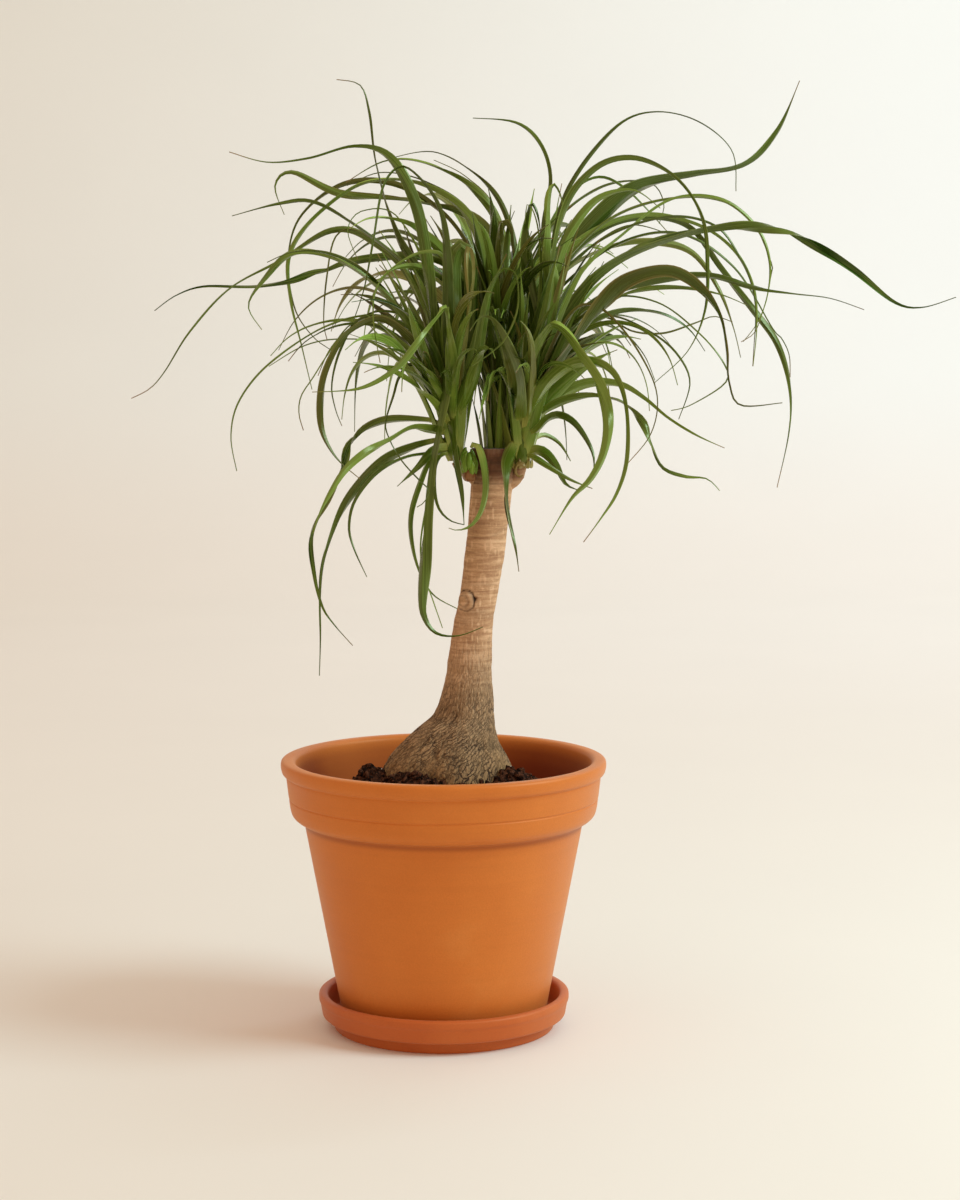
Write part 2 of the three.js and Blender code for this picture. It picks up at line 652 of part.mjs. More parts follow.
// A line as a few stations, closer together where it bends
function stations(line) {
  const run = runAlong(line);
  const effort = [0];
  for (let index = 1; index < line.length; index += 1) {
    const bend = index + 1 < line.length
      ? turnBetween(line[index - 1], line[index], line[index + 1])
      : 0;
    effort.push(effort[index - 1] + (run[index] - run[index - 1]) + BEND_WORTH * bend);
  }
  const total = effort[effort.length - 1];
  const count = THREE.MathUtils.clamp(Math.round(total / STATION_STEP), 4, 10);
  const picked = [];
  let index = 0;
  for (let step = 0; step <= count; step += 1) {
    const wanted = (total * step) / count;
    while (index < effort.length - 2 && effort[index + 1] < wanted) {
      index += 1;
    }
    const reach = effort[index + 1] - effort[index];
    const share = THREE.MathUtils.clamp((wanted - effort[index]) / reach, 0, 1);
    picked.push({
      point: line[index].clone().lerp(line[index + 1], share),
      along: mix(run[index], run[index + 1], share) / run[run.length - 1],
      run: mix(run[index], run[index + 1], share),
    });
  }
  return picked;
}

function turnBetween(before, here, after) {
  const arriving = here.clone().sub(before);
  const leaving = after.clone().sub(here);
  return arriving.angleTo(leaving);
}

// A leaf's width at a share of its length: broad in its lower third, then a long fine taper
function leafWidth(full, along) {
  const base = 0.5 + 0.5 * Math.min(1, along / 0.14);
  return Math.max(LEAF_TIP_WIDTH, full * base * (1 - 0.92 * along ** 2.1));
}

// The point of the plane y = 0 that hides behind, or is hidden by, a point in space
function toDrawing(point) {
  const scale = -EYE.y / (point.y - EYE.y);
  return [EYE.x + (point.x - EYE.x) * scale, EYE.z + (point.z - EYE.z) * scale];
}

function fromDrawing([x, z], depth) {
  const scale = (depth - EYE.y) / -EYE.y;
  return new THREE.Vector3(EYE.x + (x - EYE.x) * scale, depth, EYE.z + (z - EYE.z) * scale);
}

// Where a leaf that sets out towards a point leaves the core of its head. number turns the
// leaves of a head round the core in a spiral, so that no two bases coincide.
function rootPlace(head, towards, number) {
  const foot = stubEnd(head);
  const middle = foot.clone().lerp(head.top, 0.5);
  const aside = towards.clone().sub(middle);
  const steepness = aside.z / aside.length();
  aside.z = 0;
  const reach = Math.min(aside.length(), CORE_RADIUS * 0.6 * (1.2 - Math.abs(steepness)));
  const place = foot.lerp(head.top, mix(0.5, 0.9, steepness));
  place.x += SPIRAL_RADIUS * Math.cos(SPIRAL_STEP * number);
  place.y += SPIRAL_RADIUS * Math.sin(SPIRAL_STEP * number);
  return place.addScaledVector(aside.normalize(), reach);
}

function stubEnd(head) {
  const [x, y, z] = head.stub[head.stub.length - 1];
  return new THREE.Vector3(x, y, z);
}

function drawnLine(leaf, head, depth, number) {
  const first = fromDrawing(leaf.path[0], head.top.y);
  const base = rootPlace(head, first, number);
  const flat = [toDrawing(base), ...leaf.path];
  const lengths = [0];
  for (let index = 1; index < flat.length; index += 1) {
    const across = flat[index][0] - flat[index - 1][0];
    const up = flat[index][1] - flat[index - 1][1];
    lengths.push(lengths[index - 1] + Math.hypot(across, up));
  }
  const total = lengths[lengths.length - 1];
  return flat.map((place, index) => {
    const left = 1 - lengths[index] / total;
    return fromDrawing(place, mix(base.y, depth, 1 - left * left));
  });
}

function grownLine(rule, head, draw, number) {
  const azimuth = THREE.MathUtils.degToRad(mix(...rule.azimuth, draw()));
  const pitch = THREE.MathUtils.degToRad(mix(...rule.pitch, draw()));
  const droop = THREE.MathUtils.degToRad(mix(...rule.droop, draw()));
  const length = mix(...rule.length, draw());
  const drift = THREE.MathUtils.degToRad(mix(-35, 35, draw()));
  const towards = new THREE.Vector3(
    head.top.x + 60 * Math.cos(azimuth),
    head.top.y + 60 * Math.sin(azimuth),
    head.top.z + 120 * Math.sin(pitch) - 60,
  );
  const place = rootPlace(head, towards, number);
  const points = [place.clone()];
  const stride = length / GROWN_STEPS;
  for (let step = 0; step < GROWN_STEPS; step += 1) {
    const share = (step + 0.5) / GROWN_STEPS;
    const lean = pitch - droop * share ** DROOP_POWER;
    const heading = azimuth + drift * share;
    place.x += stride * Math.cos(lean) * Math.cos(heading);
    place.y += stride * Math.cos(lean) * Math.sin(heading);
    place.z += stride * Math.sin(lean);
    points.push(place.clone());
  }
  return { points, level: new THREE.Vector3(-Math.sin(azimuth), Math.cos(azimuth), 0) };
}

// The faces of a leaf at a station: its width lies along across, its upper face looks along up
function leafFrame(before, after, level, roll) {
  const along = after.clone().sub(before).normalize();
  const flat = level.clone().addScaledVector(along, -level.dot(along)).normalize();
  const upright = flat.clone().cross(along);
  const across = flat.multiplyScalar(Math.cos(roll)).addScaledVector(upright, Math.sin(roll));
  return { across, up: along.cross(across) };
}

function rollAt(leaf, along) {
  if (!leaf.turn) {
    return leaf.roll;
  }
  return leaf.roll + Math.PI * THREE.MathUtils.smoothstep(along, leaf.turn - 0.13, leaf.turn + 0.13);
}

// A leaf's solid: a strap with a keel, three-sided in section, alike split on every face
function leafBody(leaf) {
  const { marks } = leaf;
  const rings = marks.map((mark, index) => {
    const before = marks[Math.max(index - 1, 0)].point;
    const after = marks[Math.min(index + 1, marks.length - 1)].point;
    const { across, up } = leafFrame(before, after, leaf.level, rollAt(leaf, mark.along));
    const width = leafWidth(leaf.full, mark.along);
    const keel = Math.max(LEAF_KEEL_MIN, LEAF_KEEL * width);
    return [
      mark.point.clone().addScaledVector(across, -width / 2),
      mark.point.clone().addScaledVector(up, -keel),
      mark.point.clone().addScaledVector(across, width / 2),
    ];
  });
  return loft(rings);
}

// Holding the heads apart

// Points along a leaf with the half width there, once it has left its own core
function probes(leaf) {
  const found = [];
  for (let index = 1; index < leaf.marks.length; index += 1) {
    const from = leaf.marks[index - 1];
    const to = leaf.marks[index];
    const pieces = Math.max(1, Math.ceil((to.run - from.run) / PROBE_STEP));
    for (let piece = 1; piece <= pieces; piece += 1) {
      const share = piece / pieces;
      const run = mix(from.run, to.run, share);
      if (run >= ROOT_REACH) {
        const place = from.point.clone().lerp(to.point, share);
        const half = leafWidth(leaf.full, mix(from.along, to.along, share)) / 2;
        found.push({ place, half, head: leaf.head });
      }
    }
  }
  return found;
}

function clearOf(found, taken) {
  return found.every((probe) => taken.every((other) => {
    if (other.head === probe.head) {
      return true;
    }
    const reach = probe.half + other.half + LEAF_CLEARANCE;
    return probe.place.distanceToSquared(other.place) > reach * reach;
  }));
}

function clearOfTrunk(found) {
  return found.every(({ place, half }) => {
    if (place.z > TRUNK_TOP + half + LEAF_CLEARANCE) {
      return true;
    }
    const { x, radius } = trunkAt(Math.min(place.z, TRUNK_TOP));
    const knot = place.distanceTo(KNOT) < 3 * KNOT_SPREAD ? KNOT_HEIGHT : 0;
    const reach = radius + knot + half + LEAF_CLEARANCE;
    return Math.hypot(place.x - x, place.y) > reach;
  });
}

// The stubs and cores as places that no leaf of another head may come near
function standing() {
  const places = [];
  Object.entries(HEADS).forEach(([name, head]) => {
    for (let index = 1; index < head.stub.length; index += 1) {
      for (let piece = 0; piece <= 4; piece += 1) {
        const from = new THREE.Vector3(...head.stub[index - 1].slice(0, 3));
        const to = new THREE.Vector3(...head.stub[index].slice(0, 3));
        places.push({ place: from.lerp(to, piece / 4), half: 9, head: 'trunk' });
      }
    }
    for (let piece = 0; piece <= 6; piece += 1) {
      const place = stubEnd(head).lerp(head.top, piece / 6);
      places.push({ place, half: CORE_RADIUS * head.spread, head: name });
    }
  });
  for (let piece = 0; piece <= 5; piece += 1) {
    const place = BUD_FOOT.clone().lerp(BUD_TOP, piece / 5);
    places.push({ place, half: BUD_RADIUS, head: 'bud' });
  }
  return places;
}

function readyLeaf(headName, full, roll, turn, level, points) {
  return { head: headName, full, roll, turn, level, marks: stations(smoothLine(points)) };
}

// A drawn leaf, moved in depth until it is clear of the other heads and the trunk
function settledLeaf(drawn, headName, head, taken, number) {
  const rightward = drawn.path[drawn.path.length - 1][0] > stubEnd(head).x ? 1 : -1;
  const level = new THREE.Vector3(0, rightward, 0);
  const full = drawn.wide / Math.sin(LEAF_ROLL);
  const roll = rightward * LEAF_ROLL;
  for (let attempt = 0; attempt < 30; attempt += 1) {
    const side = attempt % 2 === 0 ? 1 : -1;
    const shift = side * Math.ceil(attempt / 2) * SIDEWAYS_STEP;
    const points = drawnLine(drawn, head, drawn.depth + shift, number);
    const leaf = readyLeaf(headName, full, roll, drawn.turn, level, points);
    const found = probes(leaf);
    if (clearOfTrunk(found) && clearOf(found, taken)) {
      taken.push(...found);
      return leaf;
    }
  }
  return null;
}

function insideCrown(found) {
  return found.every(({ place }) => {
    const [x, z] = toDrawing(place);
    const across = (x - CROWN.x) / CROWN.halfWidth;
    const up = (z - CROWN.z) / CROWN.halfHeight;
    return across * across + up * up < 1;
  });
}

function grownLeaf(rule, taken, draw, number) {
  const head = HEADS[rule.head];
  for (let attempt = 0; attempt < GROWN_TRIES; attempt += 1) {
    const { points, level } = grownLine(rule, head, draw, number);
    const full = mix(...rule.wide, draw());
    const roll = THREE.MathUtils.degToRad(mix(-25, 25, draw()));
    const leaf = readyLeaf(rule.head, full, roll, 0, level, points);
    const found = probes(leaf);
    if (insideCrown(found) && clearOfTrunk(found) && clearOf(found, taken)) {
      taken.push(...found);
      return leaf;
    }
  }
  return null;
}

function allLeaves() {
  const taken = standing();
  const leaves = [];
  const budHead = { stub: [[BUD_FOOT.x, BUD_FOOT.y, BUD_FOOT.z, 0]], top: BUD_TOP };
  leaves.push(settledLeaf(BUD_LEAF, 'bud', budHead, taken, 0));
  DRAWN_LEAVES.forEach((drawn, number) => {
    leaves.push(settledLeaf(drawn, drawn.head, HEADS[drawn.head], taken, number));
  });
  const draw = seeded(SEED);
  GROWN_LEAVES.forEach((rule) => {
    for (let number = 0; number < rule.count; number += 1) {
      leaves.push(grownLeaf(rule, taken, draw, leaves.length));
    }
  });
  return leaves.filter((leaf) => leaf !== null);
}

// The crowded leaf bases of a head, as one swelling body on the stub
function coreBody(head) {
  const foot = stubEnd(head);
  const line = head.top.clone().sub(foot);
  const lift = (SEAT + 2 * SLIVER) / line.length();
  const swells = [[lift, 0.6], [0.16, 0.85], [0.45, 1], [0.75, 0.8], [1, 0.35]];
  const places = swells.map(([share, swell]) => {
    const place = foot.clone().addScaledVector(line, share);
    return [place.x, place.y, place.z, CORE_RADIUS * swell * head.spread];
  });
  return taper(places, 9, 0);
}

// A head's lowest leaves clasp its stub, so the stub is cut out of them with its clearance
function headBody(name, leaves) {
  const head = HEADS[name];
  const bodies = leaves.filter((leaf) => leaf.head === name).map(leafBody);
  const whole = fused([coreBody(head), ...bodies]);
  const room = SEAT + SLIVER;
  const stub = toSolid(taper(head.stub, STUB_SIDES, room));
  return toGeometry(mainPiece(whole.subtract(stub).subtract(toSolid(trunkStem(room)))));
}

// The young shoot: a pale pointed bud with its scales, and the leaf that hangs from it
function budBody(leaves) {
  const line = BUD_TOP.clone().sub(BUD_FOOT);
  const shares = [[0, 3.4], [0.2, 1], [0.5, 1], [0.8, 0.72], [1, 0.3]];
  const places = shares.map(([share, swell], index) => {
    const place = BUD_FOOT.clone().addScaledVector(line, share);
    const radius = index === 0 ? swell : swell * BUD_RADIUS;
    return [place.x, place.y, place.z, radius];
  });
  const bodies = leaves.filter((leaf) => leaf.head === 'bud').map(leafBody);
  return toGeometry(fused([taper(places, 9, 0), ...bodies]));
}

function named(name, geometry, material) {
  geometry.computeVertexNormals();
  const mesh = new THREE.Mesh(geometry, material.clone());
  mesh.name = name;
  return mesh;
}

const leaves = allLeaves();
const palm = new THREE.Group();
palm.add(named('saucer', saucerBody(), SAUCER_CLAY));
palm.add(named('pot', potBody(), TERRACOTTA));
palm.add(named('soil', soilBody(), SOIL));
palm.add(named('trunk', trunkBody(), BARK));
palm.add(named('head_left', headBody('left', leaves), LEAF));
palm.add(named('head_right', headBody('right', leaves), LEAF));
palm.add(named('head_back', headBody('back', leaves), LEAF));
palm.add(named('bud', budBody(leaves), YOUNG_LEAF));

export default palm;
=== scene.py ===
"""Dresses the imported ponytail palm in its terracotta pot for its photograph.

The model's solids give every place and size. This script puts finer pieces in their stead: turned
pottery, crumbly soil, a corky trunk, and blades for the leaves, which are set out by the same rule as
the solids. Lengths are in millimetres until a mesh is made, which is in metres.
"""

import itertools
import logging
import math
from collections.abc import Callable, Sequence
from dataclasses import dataclass, field, replace
from enum import Enum
from functools import partial
from typing import Any

import bmesh
import bpy
import numpy as np
from bpy.types import Material
from numpy import ndarray as Array
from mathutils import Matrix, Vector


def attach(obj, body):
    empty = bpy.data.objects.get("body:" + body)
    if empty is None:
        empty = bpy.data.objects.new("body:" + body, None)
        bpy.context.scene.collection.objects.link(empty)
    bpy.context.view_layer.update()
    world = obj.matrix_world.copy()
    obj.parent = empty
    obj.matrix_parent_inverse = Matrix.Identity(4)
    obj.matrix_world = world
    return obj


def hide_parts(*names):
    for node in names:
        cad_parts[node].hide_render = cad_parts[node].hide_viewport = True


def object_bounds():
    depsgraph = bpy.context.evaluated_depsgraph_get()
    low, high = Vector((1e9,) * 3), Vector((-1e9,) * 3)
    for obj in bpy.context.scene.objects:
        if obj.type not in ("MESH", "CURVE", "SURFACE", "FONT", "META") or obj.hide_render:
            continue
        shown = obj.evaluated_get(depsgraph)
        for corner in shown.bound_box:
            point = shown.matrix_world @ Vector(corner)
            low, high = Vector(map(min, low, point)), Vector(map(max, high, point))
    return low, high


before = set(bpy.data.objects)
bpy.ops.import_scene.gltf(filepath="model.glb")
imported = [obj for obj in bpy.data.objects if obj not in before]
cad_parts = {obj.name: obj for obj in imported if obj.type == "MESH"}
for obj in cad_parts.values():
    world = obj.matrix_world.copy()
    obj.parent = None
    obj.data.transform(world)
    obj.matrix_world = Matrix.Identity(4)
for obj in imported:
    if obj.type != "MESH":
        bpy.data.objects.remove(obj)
CAD_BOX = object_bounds()

LOG = logging.getLogger("ponytail_palm")
MM = 0.001
Span = tuple[float, float]
Place = tuple[float, float, float]

# Pottery, soil and trunk, as the solids have them
SEAT = 0.3
SAUCER_RADIUS = 116
SAUCER_HEIGHT = 33
SAUCER_FLOOR = 10
SAUCER_FOOT_RADIUS = 102
POT_FOOT_RADIUS = 94
POT_LIP_RADIUS = 150
POT_TOP = 251
POT_BAND_BOTTOM = 194
POT_FLOOR = 22
POT_WALL = 8.5
DRAIN_RADIUS = 11
SOIL_AT_TRUNK = 237
SOIL_AT_WALL = 207
TRUNK_TOP = 536
KNOT = np.array([19.0, -15.0, 398.0])
KNOT_HEIGHT = 4
KNOT_SPREAD = 8
TRUNK_OUTLINE = np.array([  # a height, and the X of the left and the right edge there
    (172, -6, 14), (180, -24, 30), (194, -41, 46), (212, -53, 59), (230, -57, 64), (242, -56, 63),
    (251.5, -50.4, 59.2), (264.5, -38.9, 51.1), (277, -25.8, 47.8), (290, -9.2, 46.4), (305, -3.2, 46.1),
    (330, 2.8, 43.8), (358, 6.5, 44.2), (377, 9.8, 45.7), (389, 12.4, 47.4), (398, 14.2, 49),
    (407, 15.4, 50.6), (418, 17, 52.8), (434.5, 18.8, 55.2), (463, 22.5, 58.2), (492, 24.8, 62),
    (512, 25.8, 64), (534, 26.4, 63.7),
])

# The rule of the leaves, as the solids have it
LEAF_ROLL = math.radians(50)
LINE_CUTS = 10
STATION_STEP = 46
BEND_WORTH = 26
LEAF_CLEARANCE = 1.5
PROBE_STEP = 5
NEAR_ENOUGH = 32
CORE_RADIUS = 13
SPIRAL_STEP = 2.4
SPIRAL_RADIUS = 2.6
ROOT_REACH = 26
SIDEWAYS_STEP = 9
DRAWN_TRIES = 30
LEAF_TIP_WIDTH = 1.4
LEAF_TAPER = 2.1
EYE = np.array([33.5, -2360.0, 648.0])
GROWN_TRIES = 12
GROWN_STEPS = 10
DROOP_POWER = 1.35
SEED = 2207


class HeadName(str, Enum):
    """The plant's three leafy heads and its young shoot."""

    LEFT = "left"
    RIGHT = "right"
    BACK = "back"
    SHOOT = "bud"


LEFT, RIGHT, BACK = HeadName.LEFT, HeadName.RIGHT, HeadName.BACK


@dataclass(frozen=True)
class Head:
    """A leafy head: the stub that carries it, as points with a radius, and the top of its core."""

    stub: tuple[tuple[float, float, float, float], ...]
    top: Place
    spread: float = 1.0

    @property
    def foot(self) -> Array:
        """The point where the stub ends and the core of leaf bases begins."""
        return np.array(self.stub[-1][:3], float)

    @property
    def tip(self) -> Array:
        """The top of the core, as a point."""
        return np.array(self.top, float)


HEADS = {
    LEFT: Head(((37, -2, 490, 9), (27, -5, 505, 9), (18, -7, 516, 8.4), (12, -7, 525, 8)),
               (8, -6, 566)),
    RIGHT: Head(((52, 0, 486, 9), (62, -1, 500, 9.4), (68, -1, 510, 9), (71, -1, 520, 8.6)),
                (74, -2, 562), 1.05),
    BACK: Head(((48, 6, 490, 9), (51, 19, 520, 8.4), (52, 25, 548, 7.4), (50, 30, 572, 7.6)),
               (47, 33, 620), 1.15),
}
SHOOT = Head(((24, -21, 506.5, 0),), (23, -22, 541))
SHOOT_RADIUS = 6.4
STUB_HALF = 9


@dataclass(frozen=True)
class Drawn:
    """A leaf drawn in the plane y = 0 as it is seen from EYE, from its first clear point to its tip.

    wide is the width that shows, depth the tip's place on Y, path the X and Z of each point in turn,
    turn where it twists over, and taper, where it isn't 0, how late the fine blade narrows.
    """

    head: HeadName
    wide: float
    depth: float
    path: tuple[float, ...]
    turn: float = 0.0
    taper: float = 0.0

    @property
    def points(self) -> Array:
        """The points of the path, as X and Z."""
        return np.array(self.path, float).reshape(-1, 2)


SHOOT_LEAF = Drawn(HeadName.SHOOT, 6, -34, (24, 538, 31, 538, 37, 521, 39, 500, 35, 480, 26, 466, 14, 461,
    5, 463))
DRAWN_LEAVES = (
    Drawn(LEFT, 10, -42, (24, 640, 25, 695, 17, 717, 9, 700, 9, 655, 6, 610, 1, 562, -8, 510, -14, 450,
        -19, 400, -17, 380, -6, 366, 14, 364, 36, 372), taper=7),
    Drawn(LEFT, 8, -70, (5, 566, 8, 552, 12, 525, 17, 495, 19, 466)),
    Drawn(LEFT, 8, -120, (28, 600, 36, 650, 43, 680, 54, 698, 66, 694, 69, 675, 66, 655, 55, 633, 42, 621,
        26, 610)),
    Drawn(LEFT, 7, 30, (-14, 675, -42, 731, -60, 795, -66, 838, -74, 861, -95, 866)),
    Drawn(LEFT, 10, -90, (-12, 690, -25, 757, -48, 798, -80, 808, -121, 797, -158, 793, -192, 802)),
    Drawn(LEFT, 9, -30, (-12, 680, -34, 704, -83, 741, -118, 758, -148, 756, -190, 745)),
    Drawn(LEFT, 5, 20, (-25, 680, -66, 724, -101, 732, -146, 706, -193, 681, -229, 642, -252, 606,
        -266, 590, -283, 581)),
    Drawn(LEFT, 11, -70, (0, 585, -15, 625, -45, 670, -75, 697, -107, 712, -138, 711, -160, 690, -176, 665,
        -164, 643)),
    Drawn(LEFT, 8, -150, (5, 640, 4, 713, -2, 750, -17, 776, -37, 790, -54, 772, -63, 723, -71, 681,
        -81, 651)),
    Drawn(LEFT, 4, -20, (-10, 680, -40, 744, -72, 750, -86, 733, -77, 706)),
    Drawn(LEFT, 3, 10, (-30, 690, -72, 730, -96, 728, -105, 690, -108, 651, -105, 634)),
    Drawn(LEFT, 4, -110, (6, 660, 2, 706, -19, 713, -45, 700, -61, 680, -63, 651, -57, 613)),
    Drawn(LEFT, 9, -100, (-4, 592, -15, 610, -31, 638, -56, 655, -84, 645, -100, 624, -110, 593, -111, 556,
        -98, 528, -76, 508)),
    Drawn(LEFT, 4, -50, (-12, 620, -45, 652, -76, 652, -93, 625, -101, 594, -98, 572, -92, 556)),
    Drawn(LEFT, 3, 20, (-8, 595, -52, 629, -90, 635, -125, 629, -158, 610)),
    Drawn(LEFT, 3.4, -30, (-12, 625, -55, 656, -108, 646, -158, 612, -185, 579, -193, 547, -188, 515)),
    Drawn(LEFT, 8, -170, (7, 635, 3, 663, -8, 653, -24, 630, -45, 606, -76, 590, -119, 587)),
    Drawn(LEFT, 6, 25, (-14, 562, -55, 561, -84, 544, -91, 515, -103, 489, -120, 455, -118, 420, -111, 391,
        -100, 374, -83, 355), turn=0.3),
    Drawn(LEFT, 9, -130, (-27, 556, -51, 543, -71, 532, -90, 515, -103, 495, -113, 476, -119, 458)),
    Drawn(LEFT, 7, -50, (-7, 543, -29, 537, -54, 525, -79, 500, -97, 472, -110, 437, -114, 400, -113, 360,
        -114, 327)),
    Drawn(LEFT, 3, -80, (-10, 532, -34, 528, -60, 514, -80, 489, -86, 465, -82, 445, -70, 418)),
    Drawn(LEFT, 8, -36, (-9, 533, -24, 518, -42, 501)),
    Drawn(LEFT, 4, -32, (-11, 525, -21, 503, -29, 477, -29, 452, -22, 424, -9, 402, 13, 389)),
    Drawn(LEFT, 5, -95, (20, 640, 27, 700, 23, 718, 21, 700, 23, 668, 21, 643)),
    Drawn(LEFT, 4, -60, (-3, 527, -7, 500, -4, 481, 6, 470, 19, 466)),
    Drawn(RIGHT, 12, -110, (68, 580, 65, 605, 57, 632, 46, 652, 34, 655, 24, 642)),
    Drawn(RIGHT, 12, -130, (76, 600, 84, 630, 97, 650, 111, 645, 126, 624, 143, 594, 150, 562, 146, 532,
        134, 508, 117, 490, 97, 457)),
    Drawn(RIGHT, 11, -50, (80, 590, 97, 622, 112, 655, 135, 689, 160, 710, 195, 725, 235, 735, 284, 735,
        330, 721, 371, 697, 408, 668, 433, 663, 464, 672), turn=0.66),
    Drawn(RIGHT, 8, -160, (80, 575, 95, 597, 118, 613, 142, 613, 160, 598, 169, 568, 168, 525, 158, 494,
        144, 472, 128, 450)),
    Drawn(RIGHT, 9, -34, (66, 541, 58, 522, 55, 495, 59, 470, 66, 443, 69, 423)),
    Drawn(RIGHT, 7, -30, (81, 534, 92, 532, 103, 520, 112, 503, 126, 497)),
    Drawn(RIGHT, 4, -60, (80, 529, 96, 519, 116, 507, 136, 499)),
    Drawn(RIGHT, 3, 20, (80, 543, 92, 548, 106, 540, 116, 524)),
    Drawn(RIGHT, 6, -80, (82, 551, 94, 563, 107, 566, 122, 556, 136, 532, 137, 510)),
    Drawn(RIGHT, 7, -60, (80, 558, 94, 572, 114, 581, 140, 584, 164, 578, 181, 560, 189, 538, 200, 518,
        220, 510, 240, 508, 252, 497), turn=0.55),
    Drawn(RIGHT, 8, -10, (82, 563, 103, 582, 130, 595, 160, 594, 184, 581, 205, 564, 230, 548, 256, 536)),
    Drawn(RIGHT, 3.4, -90, (95, 620, 118, 660, 140, 664, 165, 641, 188, 604, 195, 576, 188, 547, 168, 522)),
    Drawn(RIGHT, 3.6, 30, (98, 615, 125, 648, 155, 656, 190, 640, 213, 620, 224, 595, 214, 562)),
    Drawn(RIGHT, 4, 60, (94, 605, 120, 640, 145, 655, 172, 642, 200, 640, 228, 649, 245, 655, 262, 650)),
    Drawn(RIGHT, 12, -120, (84, 578, 98, 603, 114, 628, 138, 660, 165, 686, 204, 696, 234, 680, 252, 655,
        258, 625, 260, 596, 270, 575, 308, 577)),
    Drawn(RIGHT, 6, 0, (88, 590, 110, 635, 150, 668, 178, 679, 215, 681, 250, 675, 275, 665)),
    Drawn(RIGHT, 7, 30, (88, 600, 112, 645, 150, 675, 190, 687, 240, 692, 280, 681, 315, 675, 350, 671,
        381, 661), turn=0.72),
    Drawn(RIGHT, 4.4, 60, (95, 640, 125, 695, 160, 728, 205, 760, 250, 760, 282, 736, 295, 705, 293, 672,
        284, 648, 272, 632)),
    Drawn(RIGHT, 9, 30, (88, 625, 94, 690, 92, 735, 98, 778, 88, 809, 66, 828, 27, 832)),
    Drawn(RIGHT, 8, 70, (92, 640, 100, 700, 101, 740, 107, 774)),
    Drawn(RIGHT, 6, -20, (84, 630, 88, 690, 85, 735, 77, 756, 74, 738)),
    Drawn(RIGHT, 4.4, 10, (88, 640, 103, 738, 121, 783, 158, 826, 192, 838, 230, 829, 260, 803, 264, 767)),
    Drawn(RIGHT, 5, -60, (92, 650, 106, 743, 135, 786, 172, 797, 210, 779, 234, 744, 239, 700, 237, 660,
        222, 624, 192, 595)),
    Drawn(RIGHT, 11, 50, (86, 630, 104, 705, 120, 739, 142, 762, 172, 768, 196, 752)),
    Drawn(BACK, 10, 90, (55, 668, 44, 722, 15, 750, -30, 761, -92, 765, -135, 784, -151, 772, -143, 746)),
    Drawn(BACK, 9, 70, (60, 680, 50, 738, 25, 772, -12, 792, -50, 795, -87, 775)),
    Drawn(BACK, 5, 150, (66, 690, 57, 746, 33, 780, -6, 802, -45, 797)),
    Drawn(BACK, 4, 120, (50, 700, 46, 753, 20, 781, -8, 795)),
    Drawn(BACK, 4, 140, (44, 690, 25, 748, -15, 776, -55, 784, -86, 772)),
    Drawn(BACK, 8, 60, (40, 680, 26, 742, -20, 775, -70, 776, -112, 748, -138, 712, -138, 672, -128, 628,
        -119, 589)),
    Drawn(BACK, 5, 100, (34, 690, 8, 740, -38, 772, -88, 774, -128, 745, -140, 705, -134, 662, -118, 637,
        -102, 625)),
    Drawn(BACK, 9, 20, (30, 668, 4, 702, -30, 709, -75, 706, -112, 696, -140, 686, -170, 681, -215, 682,
        -241, 674, -261, 660), turn=0.58),
    Drawn(BACK, 9, 40, (80, 660, 110, 705, 150, 738, 191, 746, 225, 735, 250, 700, 280, 662, 303, 630,
        314, 592, 314, 550, 304, 500), turn=0.86),
    Drawn(BACK, 6, 120, (72, 660, 105, 706, 142, 735, 185, 747, 232, 737, 264, 713, 281, 680, 284, 645,
        281, 610)),
    Drawn(BACK, 7, 90, (75, 650, 105, 693, 145, 717, 190, 722, 225, 712, 249, 680, 263, 645, 270, 618)),
    Drawn(BACK, 11, 70, (78, 665, 103, 700, 138, 742, 175, 772, 225, 783, 272, 792, 300, 820,
        320, 865), taper=5),
    Drawn(BACK, 6, 150, (76, 690, 104, 752, 135, 779, 165, 769, 207, 726)),
    Drawn(BACK, 4, 190, (72, 690, 98, 738, 143, 771, 185, 775, 199, 757, 195, 738)),
    Drawn(BACK, 3.5, 200, (80, 660, 115, 700, 142, 724, 172, 737, 209, 727)),
)

